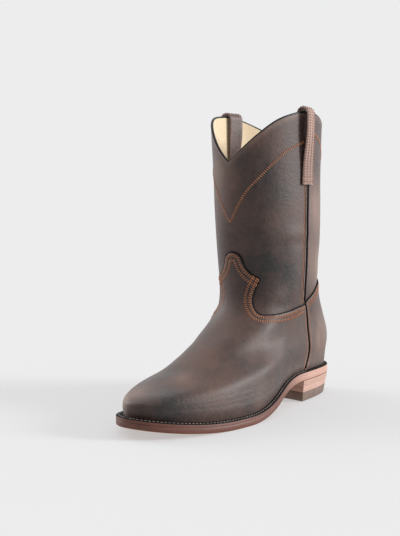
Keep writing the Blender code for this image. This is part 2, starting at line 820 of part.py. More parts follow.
def wall_inset(turn):
    """Distance from the sole's edge to the upper's inside at the welt."""
    return rim(turn) + OVERLAY + GAP + WALL


def make_insole(collection):
    """Insole board on the outsole, filling the inside of the welt."""
    make_plate(
        "insole",
        lambda turns: wall_inset(turns) + GAP,
        lambda y: tread_z(y) + OUTSOLE_THICKNESS + GAP,
        lambda y: seat_z(y) + INSOLE_RISE,
        "insole",
        collection,
    )


def make_welt(collection):
    """Welt and heel rand, flush with the outsole's edge."""
    turns = np.arange(WELT_STEPS) / WELT_STEPS
    outer = sole_edge(turns)
    inner = sole_edge(turns, wall_inset(turns))
    rows = []
    for plan, top in ((outer, False), (outer, True), (inner, True), (inner, False)):
        height = seat_z(plan[:, 1]) if top else tread_z(plan[:, 1]) + OUTSOLE_THICKNESS + GAP
        rows.append(np.column_stack([plan, height]))
    points, faces = hoop(np.stack(rows, axis=1))
    add_object("welt", mesh_from("welt", points, faces), "welt", collection)


def heel_ring(z):
    """Outline of the heel at a height: round the back, straight sides, bowed breast."""
    down = 1 - z / HEEL_HEIGHT
    breast = turn_of(HEEL_LENGTH / SOLE_LENGTH)
    turns = np.linspace(-breast, breast, HEEL_STEPS + 1)
    backness = np.cos(pi / 2 * turns / breast) ** 2
    taper = HEEL_TAPER_SIDE + (HEEL_TAPER_BACK - HEEL_TAPER_SIDE) * backness
    outline = sole_edge(turns, taper * down)
    front = max(breast_y(), outline[:, 1].min())
    outline[[0, -1], 1] = front
    across = np.linspace(0, 1, BREAST_STEPS + 1)[1:-1]
    lateral, medial = outline[-1], outline[0]
    breast_line = lateral + (medial - lateral) * across[:, None]
    breast_line[:, 1] += HEEL_BREAST_BOW * 4 * across * (1 - across)
    ring = np.concatenate([outline, breast_line])
    return np.column_stack([ring, np.full(len(ring), z)])


def make_heel(collection):
    """Stacked leather heel and the rubber cap under it."""
    layers = (
        ("heel_stack", HEEL_CAP_THICKNESS + GAP, HEEL_HEIGHT - GAP, "sole_leather"),
        ("heel_cap", 0.0, HEEL_CAP_THICKNESS, "heel_rubber"),
    )
    for name, low, high, finish in layers:
        points, faces = loft([heel_ring(low), heel_ring(high)])
        add_object(name, mesh_from(name, points, faces), finish, collection)


def main():
    """Build the boot."""
    for item in list(bpy.data.objects):
        bpy.data.objects.remove(item)
    boot = bpy.data.collections.new("roper_boot")
    cutters = bpy.data.collections.new("cutters")
    for collection in (boot, cutters):
        bpy.context.scene.collection.children.link(collection)
    make_outsole(boot)
    make_welt(boot)
    make_insole(boot)
    make_heel(boot)
    make_upper(boot)
    make_vamp(boot, cutters)
    make_counter(boot, cutters)
    make_binding(boot)
    for name, side in (("lateral", 1), ("medial", -1)):
        make_pull_strap("pull_strap_" + name, side, boot)
        make_piping("piping_" + name, side, boot)


main()
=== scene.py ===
"""Left roper boot in oiled brown leather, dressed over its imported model.

Metres, +Z up, the toe towards -Y and the outer (lateral) side towards +X, as in the
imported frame. The upper is a form of two numbers: the turn runs round the boot (0 at the
back, 0.25 lateral, 0.5 at the toe), and the level runs up it from 0 at the welt.
"""

import sys

import logging
from dataclasses import dataclass
from enum import Enum
from functools import cached_property
from math import cos, pi, radians, sin
from typing import Callable, Sequence

import bpy
import numpy as np
from mathutils import Matrix


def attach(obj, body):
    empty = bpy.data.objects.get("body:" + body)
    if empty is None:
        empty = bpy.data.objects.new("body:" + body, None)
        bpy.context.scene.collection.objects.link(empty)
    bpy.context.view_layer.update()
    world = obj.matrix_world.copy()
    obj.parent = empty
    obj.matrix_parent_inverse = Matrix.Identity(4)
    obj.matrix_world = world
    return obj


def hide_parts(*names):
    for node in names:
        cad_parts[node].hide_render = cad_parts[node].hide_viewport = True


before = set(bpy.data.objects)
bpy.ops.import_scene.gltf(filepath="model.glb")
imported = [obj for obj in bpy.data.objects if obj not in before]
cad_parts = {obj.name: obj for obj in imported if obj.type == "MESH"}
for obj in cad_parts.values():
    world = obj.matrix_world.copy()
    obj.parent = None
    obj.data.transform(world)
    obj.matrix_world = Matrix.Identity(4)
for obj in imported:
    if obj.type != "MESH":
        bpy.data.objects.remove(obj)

Array = np.ndarray
Point = tuple[float, float, float]

log = logging.getLogger("boot")

# Sole outline: place along the sole from the heel, and the lateral and medial half widths,
# as shares of the sole's length and width
SOLE_OUTLINE: list[tuple[float, ...]] = [
    (0.000, 0.000, 0.000),
    (0.018, 0.150, 0.140),
    (0.065, 0.270, 0.250),
    (0.135, 0.330, 0.300),
    (0.217, 0.361, 0.312),
    (0.310, 0.388, 0.300),
    (0.406, 0.438, 0.262),
    (0.486, 0.503, 0.301),
    (0.560, 0.540, 0.367),
    (0.640, 0.546, 0.430),
    (0.715, 0.529, 0.453),
    (0.800, 0.479, 0.440),
    (0.870, 0.405, 0.378),
    (0.925, 0.320, 0.290),
    (0.965, 0.225, 0.195),
    (0.990, 0.120, 0.100),
    (1.000, 0.000, 0.000),
]

# Sections of the foot, from the welt to the instep, one level each:
# back reach and height, front reach and height, half width and end of the heel's round,
# lateral and medial half widths, place of the widest point, share of the sole's own
# outline, lean to the lateral side. Reaches are shares of the feather line's ends,
# heights of INSTEP_HEIGHT, places of the ring's length, the rest of SOLE_WIDTH.
FOOT_SECTIONS: list[tuple[float, ...]] = [
    (1.000, 0.000, 1.000, 0.000, 0.340, 0.14, 0.476, 0.394, 0.60, 1.00, 0.000),
    (1.010, 0.111, 1.010, 0.111, 0.340, 0.14, 0.476, 0.394, 0.60, 1.03, 0.000),
    (1.026, 0.222, 0.995, 0.137, 0.341, 0.14, 0.476, 0.386, 0.60, 0.85, 0.000),
    (1.018, 0.333, 0.952, 0.184, 0.338, 0.15, 0.462, 0.358, 0.57, 0.50, 0.003),
    (0.997, 0.444, 0.858, 0.209, 0.330, 0.16, 0.425, 0.328, 0.53, 0.20, 0.005),
    (0.966, 0.556, 0.713, 0.283, 0.324, 0.18, 0.392, 0.322, 0.50, 0.00, 0.006),
    (0.932, 0.667, 0.530, 0.389, 0.329, 0.21, 0.374, 0.332, 0.46, 0.00, 0.006),
    (0.895, 0.800, 0.325, 0.550, 0.343, 0.27, 0.378, 0.349, 0.45, 0.00, 0.005),
    (0.856, 0.956, 0.113, 0.735, 0.375, 0.36, 0.400, 0.382, 0.46, 0.00, 0.003),
]

# Sections of the shaft in the same columns. Heights are shares of the way from
# INSTEP_HEIGHT to SHAFT_HEIGHT, widths and lean are shares of SHAFT_WIDTH.
SHAFT_SECTIONS: list[tuple[float, ...]] = [
    (0.832, 0.070, -0.008, -0.008, 0.462, 0.45, 0.478, 0.468, 0.48, 0.00, -0.004),
    (0.834, 0.187, -0.022, 0.187, 0.490, 0.50, 0.498, 0.480, 0.50, 0.00, -0.017),
    (0.844, 0.339, 0.000, 0.351, 0.490, 0.50, 0.503, 0.472, 0.50, 0.00, -0.021),
    (0.851, 0.526, 0.020, 0.526, 0.490, 0.50, 0.508, 0.476, 0.50, 0.00, -0.021),
    (0.858, 0.713, 0.030, 0.713, 0.490, 0.50, 0.506, 0.486, 0.50, 0.00, -0.020),
    (0.887, 1.020, 0.074, 1.090, 0.490, 0.50, 0.500, 0.500, 0.50, 0.00, -0.016),
]
LAST_LEVEL = len(FOOT_SECTIONS) + len(SHAFT_SECTIONS) - 1

# Collar: way from the back (0) to the front (1), lateral and medial heights above the
# heel seat as shares of SHAFT_HEIGHT
COLLAR: list[tuple[float, ...]] = [
    (0.00, 0.862, 0.862),
    (0.12, 0.908, 0.900),
    (0.25, 0.956, 0.943),
    (0.36, 0.984, 0.974),
    (0.50, 0.995, 0.995),
    (0.62, 0.975, 0.989),
    (0.70, 0.951, 0.975),
    (0.78, 0.914, 0.942),
    (0.87, 0.868, 0.886),
    (0.93, 0.837, 0.846),
    (1.00, 0.804, 0.804),
]

# Side seam: level, and its turn on the lateral side
SEAM: list[tuple[float, ...]] = [
    (0.0, 0.165),
    (1.4, 0.158),
    (3.4, 0.160),
    (4.6, 0.164),
    (5.6, 0.170),
    (6.6, 0.181),
    (7.4, 0.200),
    (8.1, 0.228),
    (8.9, 0.251),
    (9.9, 0.256),
    (11.5, 0.253),
    (14.0, 0.250),
]

# Top edge of the vamp, from the seam up to the top of the tongue: turn and level
TONGUE_EDGE: list[tuple[float, float]] = [
    (0.218, 7.63),
    (0.248, 7.73),
    (0.282, 7.81),
    (0.338, 8.05),
    (0.385, 8.30),
    (0.411, 8.55),
    (0.429, 8.86),
    (0.432, 9.14),
    (0.423, 9.40),
    (0.413, 9.58),
    (0.435, 9.70),
    (0.460, 9.93),
    (0.471, 10.22),
    (0.480, 10.37),
    (0.500, 10.46),
]

# Top edge of the counter, from the seam to the back: turn and level
COUNTER_EDGE: list[tuple[float, float]] = [
    (0.202, 7.70),
    (0.196, 7.84),
    (0.181, 7.99),
    (0.168, 8.14),
    (0.148, 8.32),
    (0.118, 8.44),
    (0.070, 8.51),
    (0.000, 8.54),
]



# Folds and swells of the leather, each along a line in space: both ends in millimetres,
# half width in millimetres, height in millimetres (below zero is a trough)
FOLDS: list[tuple[Point, Point, float, float]] = [
    ((-10, -100, 42), (16, -94, 44), 8.0, 0.30),
    ((-4, -84, 49), (18, -78, 50), 9.0, -0.40),
    ((31, -53, 52), (45, -44, 45), 14.0, 0.50),
    ((4, -29, 75), (26, -50, 57), 8.0, -0.80),
    ((35, 8, 79), (47, -8, 49), 9.0, 0.70),
    ((40, 39, 61), (43, 29, 34), 8.0, -0.70),
    ((14, 1, 188), (16, 7, 116), 13.0, -1.10),
    ((42, 41, 163), (42, 46, 115), 12.0, 0.80),
    ((26, 11, 168), (44, 55, 170), 6.0, 0.55),
    ((25, 12, 158), (44, 55, 160), 5.0, -0.55),
    ((34, 103, 69), (32, 110, 54), 3.5, -0.50),
    ((-28, 40, 92), (-34, 62, 82), 7.0, -0.80),
    ((-30, 30, 78), (-38, 50, 66), 7.0, 0.60),
    ((-30, -56, 50), (-38, -40, 40), 9.0, 0.60),
    ((-24, -34, 66), (-38, -20, 50), 8.0, -0.70),
    ((-40, 50, 150), (-36, 90, 158), 8.0, -0.70),
    ((-44, 40, 210), (-44, 60, 170), 14.0, 0.80),
    ((0, 128, 118), (0, 122, 150), 12.0, -0.70),
    ((-26, 112, 132), (22, 112, 136), 6.0, -0.60),
    ((28, 112, 200), (34, 100, 160), 12.0, 0.80),
    ((34, 26, 100), (40, 62, 104), 6.0, -0.60),
    ((30, 10, 112), (36, 30, 108), 7.0, 0.60),
]


def spline(knots: Array, values: Array, at: Array) -> Array:
    """Natural cubic spline through rows of values.

    Args:
        knots: Rising places of the rows.
        values: One row of values for each knot.
        at: Places to read, of any shape.

    Returns:
        The rows at those places, one axis longer than at.
    """
    x = np.asarray(knots, float)
    y = np.asarray(values, float)
    step = np.diff(x)[:, None]
    system = np.eye(len(x))
    right = np.zeros_like(y)
    for row in range(1, len(x) - 1):
        system[row, row - 1] = step[row - 1, 0]
        system[row, row] = 2 * (step[row - 1, 0] + step[row, 0])
        system[row, row + 1] = step[row, 0]
        rise = (y[row + 1] - y[row]) / step[row] - (y[row] - y[row - 1]) / step[row - 1]
        right[row] = 6 * rise
    bend = np.linalg.solve(system, right)
    at = np.asarray(at, float)
    low = np.clip(np.searchsorted(x, at, side="right") - 1, 0, len(x) - 2)
    width = step[low]
    past = (at - x[low])[..., None]
    left = width - past
    curve = (bend[low] * left**3 + bend[low + 1] * past**3) / (6 * width)
    start = (y[low] / width - bend[low] * width / 6) * left
    end = (y[low + 1] / width - bend[low + 1] * width / 6) * past
    return curve + start + end


def smooth(value: Array) -> Array:
    """Ramp from 0 to 1 with soft ends."""
    value = np.clip(value, 0, 1)
    return value * value * (3 - 2 * value)


def bell(distance: Array, width: float) -> Array:
    """Soft bump that is 1 at no distance and fades over a width."""
    return np.exp(-((distance / width) ** 2))


def unit(vectors: Array) -> Array:
    """Vectors at length 1."""
    return vectors / np.maximum(np.linalg.norm(vectors, axis=-1, keepdims=True), 1e-12)


def share_of(turn: Array) -> Array:
    """Share of a ring's length from the back that a turn stands at."""
    return (1 - np.cos(2 * pi * np.asarray(turn))) / 2


def turn_of(share: Array) -> Array:
    """Turn on the lateral side that stands at a share of the length."""
    return np.arccos(1 - 2 * np.clip(share, 0, 1)) / (2 * pi)


def quarter(across: Array, power: float) -> Array:
    """Quarter of a rounded end: 1 where across is 0, down to 0 where it is 1."""
    return np.clip(1 - np.clip(across, 0, 1) ** power, 0, None) ** (1 / power)


class Side(Enum):
    """Outer or inner side of the foot, as the sign of X."""

    LATERAL = 1
    MEDIAL = -1


@dataclass(frozen=True)
class Last:
    """The boot's own form: sole outline, foot and shaft, in the CAD's sizes."""

    sole_length: float = 0.300
    sole_width: float = 0.104
    outsole: float = 0.0055
    welt: float = 0.0033
    toe_spring: float = 0.0095
    tread_flat: float = 0.022
    ball_share: float = 0.683
    spine_x: float = -0.0007
    heel_height: float = 0.0215
    heel_length: float = 0.082
    instep_height: float = 0.090
    shaft_height: float = 0.258
    shaft_width: float = 0.093
    wall: float = 0.0024
    overlay: float = 0.0015
    gap: float = 0.0003
    rims: tuple[float, ...] = (0.0040, 0.0040, 0.0042, 0.0052, 0.0070)
    lap_full: float = 8.0
    lap_end: float = 11.2
    roundness: float = 2.1
    settle_level: float = 4.0
    flat_level: float = 0.6
    nudge: float = 0.002

    def outline_x(self, turn: Array) -> Array:
        """Signed half width of the sole at a turn.

        Args:
            turn: Turns round the boot.

        Returns:
            Half widths in metres, below zero on the medial side.
        """
        rows = np.array(SOLE_OUTLINE)
        lateral = turn_of(rows[:, 0])
        turns = np.r_[lateral, 1 - lateral[-2:0:-1]]
        widths = np.r_[rows[:, 1], -rows[-2:0:-1, 2]]
        turns = np.r_[turns - 1, turns, turns + 1]
        widths = np.r_[widths, widths, widths]
        return spline(turns, widths[:, None], np.asarray(turn) % 1.0)[..., 0] * self.sole_width

    def sole_edge(self, turn: Array, inset: Array | float = 0.0) -> Array:
        """Point in plan on the sole's outline, moved inwards square to it.

        Args:
            turn: Turns round the sole.
            inset: Distance inwards, one for all or one for each turn.

        Returns:
            Plan points, x and y.
        """
        turn = np.asarray(turn, float)

        def on_outline(place: Array) -> Array:
            """Plan point on the sole's outline."""
            return np.stack([self.outline_x(place), self.sole_length * (0.5 - share_of(place))], -1)

        point = on_outline(turn)
        along = unit(on_outline(turn + self.nudge) - on_outline(turn - self.nudge))
        outward = np.stack([-along[..., 1], along[..., 0]], -1)
        point = point - outward * (np.zeros(turn.shape) + inset)[..., None]
        point[..., 0] += self.spine_x
        return point

    def breast_y(self) -> float:
        """Place of the heel's front face."""
        return self.sole_length / 2 - self.heel_length

    def tread_z(self, y: Array) -> Array:
        """Height of the outsole's underside.

        Args:
            y: Places along the boot.

        Returns:
            Heights over the floor.
        """
        ball = self.sole_length * (0.5 - self.ball_share)
        front = ball - self.tread_flat / 2
        back = ball + self.tread_flat / 2
        toe = np.clip((front - y) / (front + self.sole_length / 2), 0, 1)
        shank = smooth((y - back) / (self.breast_y() - 0.004 - back))
        return self.toe_spring * toe**1.8 + self.heel_height * shank

    def seat_z(self, y: Array) -> Array:
        """Height of the welt's top, on which the upper stands."""
        return self.tread_z(y) + self.outsole + self.welt

    def rim(self, turn: Array) -> Array:
        """Width of welt that shows at a turn."""
        return np.interp(share_of(turn), [0.0, 0.15, 0.4, 0.7, 1.0], self.rims)

    def inset_outline(
        self, inset: Callable[[Array], Array], share: Array
    ) -> tuple[Array, Array, Array]:
        """The sole's outline moved inwards, at shares of its own length.

        Args:
            inset: Distance inwards for each turn.
            share: Shares of the inset outline's length, from the heel.

        Returns:
            Y, lateral X and medial X.
        """
        dense = np.linspace(0, 1, 1441)
        line = self.sole_edge(dense, inset(dense))
        half = len(dense) // 2
        length = line[0, 1] - line[half, 1]
        place = np.sqrt(np.clip((line[0, 1] - line[:, 1]) / length, 0, 1))
        wanted = np.sqrt(share)
        lateral = np.interp(wanted, place[: half + 1], line[: half + 1, 0])
        medial = np.interp(wanted, place[half:][::-1], line[half:, 0][::-1])
        return line[0, 1] - length * share, lateral, medial

    def feather_x(self, turn: Array) -> Array:
        """Signed half width of the upper's lowest ring at a turn."""
        _, lateral, medial = self.inset_outline(self.rim, share_of(turn))
        return np.where(np.asarray(turn) % 1.0 <= 0.5, lateral, medial) - self.spine_x

    @cached_property
    def rows(self) -> Array:
        """The two section tables in metres, one row for each level.

        Returns:
            The sections, with a column for each measure.
        """
        heel_end = self.sole_length / 2 - self.rims[0]
        toe_end = -(self.sole_length / 2 - self.rims[-1])
        made = []
        for table, low, high, width in (
            (FOOT_SECTIONS, 0.0, self.instep_height, self.sole_width),
            (SHAFT_SECTIONS, self.instep_height, self.shaft_height, self.shaft_width),
        ):
            for back, back_up, front, front_up, heel, round_end, lateral, medial, widest, outline, lean in table:
                made.append((
                    back * heel_end,
                    low + back_up * (high - low),
                    front * toe_end,
                    low + front_up * (high - low),
                    heel * width,
                    round_end,
                    lateral * width,
                    medial * width,
                    widest,
                    outline,
                    self.spine_x + lean * width,
                ))
        return np.array(made)

    def point(self, turn: Array, level: Array) -> Array:
        """Point on the outside of the finished upper, before folds.

        Args:
            turn: Turns round the boot.
            level: Levels up the boot.

        Returns:
            Points, one row each.
        """
        turn, level = np.broadcast_arrays(np.asarray(turn, float) % 1.0, np.asarray(level, float))
        columns = np.moveaxis(spline(np.arange(len(self.rows)), self.rows, level), -1, 0)
        back, back_up, front, front_up, heel, heel_place, lateral, medial, widest, outline, spine = columns
        share = share_of(turn)
        y = back + (front - back) * share
        heel_seat = self.seat_z(self.sole_length / 2 - self.rims[0])
        toe_seat = self.seat_z(self.rims[-1] - self.sole_length / 2)
        base = heel_seat + (toe_seat - heel_seat) * share
        settle = np.clip(1 - level / self.settle_level, 0, 1) ** 2
        z = self.gap + base + back_up + (front_up - back_up) * share + (
            self.seat_z(y) - base
        ) * settle
        heel_place = np.minimum(heel_place, widest)
        side = np.where(turn <= 0.5, lateral, medial)
        heel = heel + (side - heel) * np.clip((heel_place / widest - 0.85) / 0.15, 0, 1)
        behind = heel * quarter((heel_place - share) / heel_place, self.roundness)
        along = smooth((share - heel_place) / np.maximum(widest - heel_place, 1e-6))
        before = side * quarter((share - widest) / (1 - widest), self.roundness)
        half = np.where(
            share < heel_place, behind,
            np.where(share < widest, heel + (side - heel) * along, before)
        )
        half = np.where(turn <= 0.5, half, -half)
        x = spine + half * (
            1 - np.clip(outline, 0, 1)
        ) + self.feather_x(turn) * np.clip(outline, 0, None)
        return np.stack([x, y, z], -1)

    def rounded(self, turn: Array, level: Array) -> Array:
        """Point on the upper, its sections blended over the foot as leather rounds them off.

        Args:
            turn: Turns round the boot.
            level: Levels up the boot.

        Returns:
            Points, one row each.
        """
        turn, level = np.broadcast_arrays(np.asarray(turn, float), np.asarray(level, float))
        point = self.point(turn, level)
        spread = smooth(level / 1.1) * smooth((6.5 - level) / 2.0)
        near = spread > 0.001
        if np.any(near):
            turn, level, spread = turn[near], level[near], spread[near]
            parts = [
                self.point(turn, level + spread * step) * weight / 16
                for step, weight in zip((-1.0, -0.5, 0.0, 0.5, 1.0), (1, 4, 6, 4, 1))
            ]
            point[near] = sum(parts)
        return point

    def outward(self, turn: Array, level: Array) -> Array:
        """Unit normal of the upper, laid flat where it stands on the welt.

        Args:
            turn: Turns round the boot.
            level: Levels up the boot.

        Returns:
            Unit normals, one for each place.
        """
        step = self.nudge
        round_it = self.rounded(turn + step, level) - self.rounded(turn - step, level)
        up_it = self.rounded(turn, level + step) - self.rounded(turn, level - step)
        normal = unit(np.cross(up_it, round_it))
        normal[..., 2] *= np.clip(np.asarray(level) / self.flat_level, 0, 1)
        return unit(normal)

    def lap(self, level: Array) -> Array:
        """How far the upper is drawn in under the vamp and the counter."""
        above = smooth((np.asarray(level) - self.lap_full) / (self.lap_end - self.lap_full))
        return (self.overlay + self.gap) * (1 - above)

    def folds(self, points: Array) -> Array:
        """Height of the folds and swells at points, in metres.

        Args:
            points: Points in metres, one row each.

        Returns:
            Heights in metres, below zero in a trough.
        """
        total = np.zeros(points.shape[:-1])
        spots = points * 1000
        for start, end, width, height in FOLDS:
            origin = np.array(start, float)
            run = np.array(end, float) - origin
            along = np.clip(((spots - origin) @ run) / (run @ run), 0, 1)
            away = np.linalg.norm(spots - origin - along[..., None] * run, axis=-1)
            total += height * bell(away, width)
        return total / 1000

    def skin(self, turn: Array, level: Array, proud: Array | float = 0.0) -> Array:
        """Point on the upper's outer face with its folds.

        Args:
            turn: Turns round the boot.
            level: Levels up the boot.
            proud: Distance outwards from the upper's own face.

        Returns:
            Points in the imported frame.
        """
        turn, level = np.broadcast_arrays(np.asarray(turn, float), np.asarray(level, float))
        point = self.rounded(turn, level)
        out = proud - self.lap(level) + self.folds(point) * np.clip(level / 1.5, 0, 1)
        moved = point + self.outward(turn, level) * np.asarray(out)[..., None]
        settle = np.clip(1 - level / self.settle_level, 0, 1) ** 2
        moved[..., 2] += (self.seat_z(moved[..., 1]) - self.seat_z(point[..., 1])) * settle
        return moved

    def level_at(self, turn: Array, height: Array) -> Array:
        """Level on the shaft at which a turn reaches a height.

        Args:
            turn: Turns round the boot.
            height: Height wanted at each turn.

        Returns:
            Levels, one for each turn.
        """
        levels = np.linspace(self.lap_end, LAST_LEVEL + 0.5, 200)
        heights = self.point(np.asarray(turn)[:, None], levels[None, :])[..., 2]
        return np.array([np.interp(z, row, levels) for z, row in zip(height, heights)])

    @cached_property
    def collar_table(self) -> Array:
        """Level at which the upper is cut for the collar, at even turns all round.

        Returns:
            Levels, one for each turn.
        """
        turn = np.linspace(0, 1, 289)
        rows = np.array(COLLAR)
        heights = spline(rows[:, 0], rows[:, 1:], 1 - np.abs(1 - 2 * turn))
        wanted = np.where(turn <= 0.5, heights[:, 0], heights[:, 1]) * self.shaft_height
        return self.level_at(turn, wanted + self.seat_z(self.sole_length / 2))

    def collar_level(self, turn: Array) -> Array:
        """Level at which the upper is cut for the collar."""
        return np.interp(np.asarray(turn) % 1.0, np.linspace(0, 1, 289), self.collar_table)

    def seam_turn(self, level: Array) -> Array:
        """Turn of the lateral side seam; the medial one mirrors it."""
        rows = np.array(SEAM)
        return spline(rows[:, 0], rows[:, 1:], level)[..., 0]

    def side_seam(self, side: Side, level: Array) -> Array:
        """Turn of the seam on one side."""
        turn = self.seam_turn(level)
        return turn if side is Side.LATERAL else 1 - turn

    def turns_across(self, distance: float, turn: Array, level: Array) -> Array:
        """How many turns a distance along the surface takes."""
        step = self.point(turn + self.nudge, level) - self.point(turn - self.nudge, level)
        return distance * 2 * self.nudge / np.linalg.norm(step, axis=-1)


@dataclass
class Seamline:
    """Line drawn on the upper in turns and levels, such as a row of stitches."""

    last: Last
    turns: Array
    levels: Array
    proud: float = 0.0

    def points(self) -> Array:
        """The line's points in space."""
        return self.last.skin(self.turns, self.levels, self.proud)

    def slopes(self) -> tuple[Array, Array]:
        """How the points move with the turn and with the level.

        Returns:
            Move for each turn, and move for each level.
        """
        step = self.last.nudge
        skin, proud = self.last.skin, self.proud
        by_turn = skin(
            self.turns + step, self.levels, proud
        ) - skin(self.turns - step, self.levels, proud)
        by_level = skin(
            self.turns, self.levels + step, proud
        ) - skin(self.turns, self.levels - step, proud)
        return by_turn / (2 * step), by_level / (2 * step)

    def shifted(self, distance: float) -> "Seamline":
        """The line moved sideways over the surface.

        Args:
            distance: Distance in metres, above zero to the right of its run, from outside.

        Returns:
            A new line beside this one.
        """
        by_turn, by_level = self.slopes()
        normal = unit(np.cross(by_level, by_turn))
        heading = unit(np.gradient(self.points(), axis=0))
        away = np.cross(heading, normal) * distance
        a = np.sum(by_turn * by_turn, -1)
        b = np.sum(by_turn * by_level, -1)
        c = np.sum(by_level * by_level, -1)
        p = np.sum(by_turn * away, -1)
        q = np.sum(by_level * away, -1)
        det = a * c - b * b
        return Seamline(
            self.last, self.turns + (c * p - b * q) / det, self.levels + (a * q - b * p) / det,
            self.proud
        )

    def spaced(self, pitch: float) -> "Seamline":
        """The same line with its points an even distance apart.

        Args:
            pitch: Distance between points in metres.

        Returns:
            A new line along this one.
        """
        points = self.points()
        run = np.r_[0, np.cumsum(np.linalg.norm(np.diff(points, axis=0), axis=1))]
        count = max(int(round(run[-1] / pitch)), 2)
        at = (np.arange(count) + 0.5) / count * run[-1]
        return Seamline(
            self.last, np.interp(at, run, self.turns), np.interp(at, run, self.levels), self.proud
        )

    def spots(self, pitch: float) -> tuple[Array, Array, Array]:
        """Evenly spaced places along the line.

        Args:
            pitch: Distance between places in metres.

        Returns:
            Points, headings and normals.
        """
        line = self.spaced(pitch)
        by_turn, by_level = line.slopes()
        points = line.points()
        return points, unit(np.gradient(points, axis=0)), unit(np.cross(by_level, by_turn))


def flowing(points: Sequence[tuple[float, float]], fine: int = 14) -> Array:
    """Smooth line through rows of turn and level.

    Args:
        points: Rows to run through.
        fine: Points for each row.

    Returns:
        Rows of the smooth line.
    """
    rows = np.array(points, float)
    place = np.arange(len(rows))
    return spline(place, rows, np.linspace(0, len(rows) - 1, (len(rows) - 1) * fine + 1))


def deselect() -> None:
    """Leave nothing selected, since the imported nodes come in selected."""
    if bpy.context.object and bpy.context.object.mode != "OBJECT":
        bpy.ops.object.mode_set(mode="OBJECT")
    bpy.ops.object.select_all(action="DESELECT")


def coordinates(piece: bpy.types.Object) -> Array:
    """The piece's points, one row each.

    Args:
        piece: The piece.

    Returns:
        Points, one row each.
    """
    flat = np.zeros(len(piece.data.vertices) * 3, np.float32)
    piece.data.vertices.foreach_get("co", flat)
    return flat.reshape(-1, 3).astype(float)


def put(piece: bpy.types.Object, points: Array) -> None:
    """Move the piece's points to new places."""
    piece.data.vertices.foreach_set("co", np.asarray(points, np.float32).ravel())
    piece.data.update()


def volume_of(piece: bpy.types.Object) -> float:
    """Volume inside a closed piece, below zero where its faces look inwards.

    Args:
        piece: The piece.

    Returns:
        Volume in cubic metres.
    """
    piece.data.calc_loop_triangles()
    corners = coordinates(piece)[
        np.array([triangle.vertices for triangle in piece.data.loop_triangles])
    ]
    return float(
        np.einsum("ij,ij->i", corners[:, 0], np.cross(corners[:, 1], corners[:, 2])).sum() / 6
    )


def close_seams(piece: bpy.types.Object, caps: bool = False, turn_out: bool = False) -> None:
    """Merge the points that meet, and close open ends.

    Args:
        piece: The piece to close.
        caps: Whether open ends get a face.
        turn_out: Whether all faces are turned outwards, for a closed piece.
    """
    deselect()
    piece.select_set(True)
    bpy.context.view_layer.objects.active = piece
    bpy.ops.object.mode_set(mode="EDIT")
    bpy.ops.mesh.select_all(action="SELECT")
    bpy.ops.mesh.remove_doubles(threshold=0.000002)
    if caps:
        bpy.ops.mesh.fill_holes(sides=0)
    if turn_out:
        bpy.ops.mesh.select_all(action="SELECT")
        bpy.ops.mesh.normals_make_consistent(inside=False)
    bpy.ops.object.mode_set(mode="OBJECT")
    if turn_out and volume_of(piece) < 0:
        piece.data.flip_normals()


def dress(piece: bpy.types.Object, node: str) -> None:
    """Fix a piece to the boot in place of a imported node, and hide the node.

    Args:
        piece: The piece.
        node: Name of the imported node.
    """
    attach(piece, "root")
    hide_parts(node)


def sheet_of(
    name: str, columns: int, rows: int, place: Callable[[Array, Array], Array]
) -> bpy.types.Object:
    """Add a grid of faces and lay it over a form.

    Args:
        name: Name of the new piece.
        columns: Faces across.
        rows: Faces up.
        place: Gives a point for each share across and share up.

    Returns:
        The new piece.
    """
    deselect()
    bpy.ops.mesh.primitive_grid_add(x_subdivisions=columns, y_subdivisions=rows, size=1)
    piece = bpy.context.object
    piece.name = piece.data.name = name
    flat = coordinates(piece) + 0.5
    put(piece, place(flat[:, 0], flat[:, 1]))
    return piece


def finish_with(piece: bpy.types.Object, *steps: tuple[str, dict[str, object]]) -> None:
    """Add modifiers one after the other and apply each.

    Args:
        piece: The piece.
        steps: Kind of each modifier with its settings.
    """
    deselect()
    piece.select_set(True)
    bpy.context.view_layer.objects.active = piece
    for kind, settings in steps:
        step = piece.modifiers.new(kind.lower(), kind)
        for key, value in settings.items():
            setattr(step, key, value)
        bpy.ops.object.modifier_apply(modifier=step.name)


def soften(piece: bpy.types.Object, degrees: float = 40) -> None:
    """Shade smooth where faces meet at less than an angle.

    Args:
        piece: The piece.
        degrees: Angle up to which an edge is smooth.
    """
    deselect()
    piece.select_set(True)
    bpy.context.view_layer.objects.active = piece
    bpy.ops.object.shade_smooth_by_angle(angle=radians(degrees))


def mark(piece: bpy.types.Object, name: str, values: Array) -> None:
    """Store a number at each of the piece's points for its material."""
    layer = piece.data.attributes.new(name, "FLOAT", "POINT")
    layer.data.foreach_set("value", np.asarray(values, np.float32))


def give(piece: bpy.types.Object, *materials: bpy.types.Material) -> None:
    """Put materials on the piece's slots.

    Args:
        piece: The piece.
        materials: Materials, one for each slot.
    """
    piece.data.materials.clear()
    for made in materials:
        piece.data.materials.append(made)


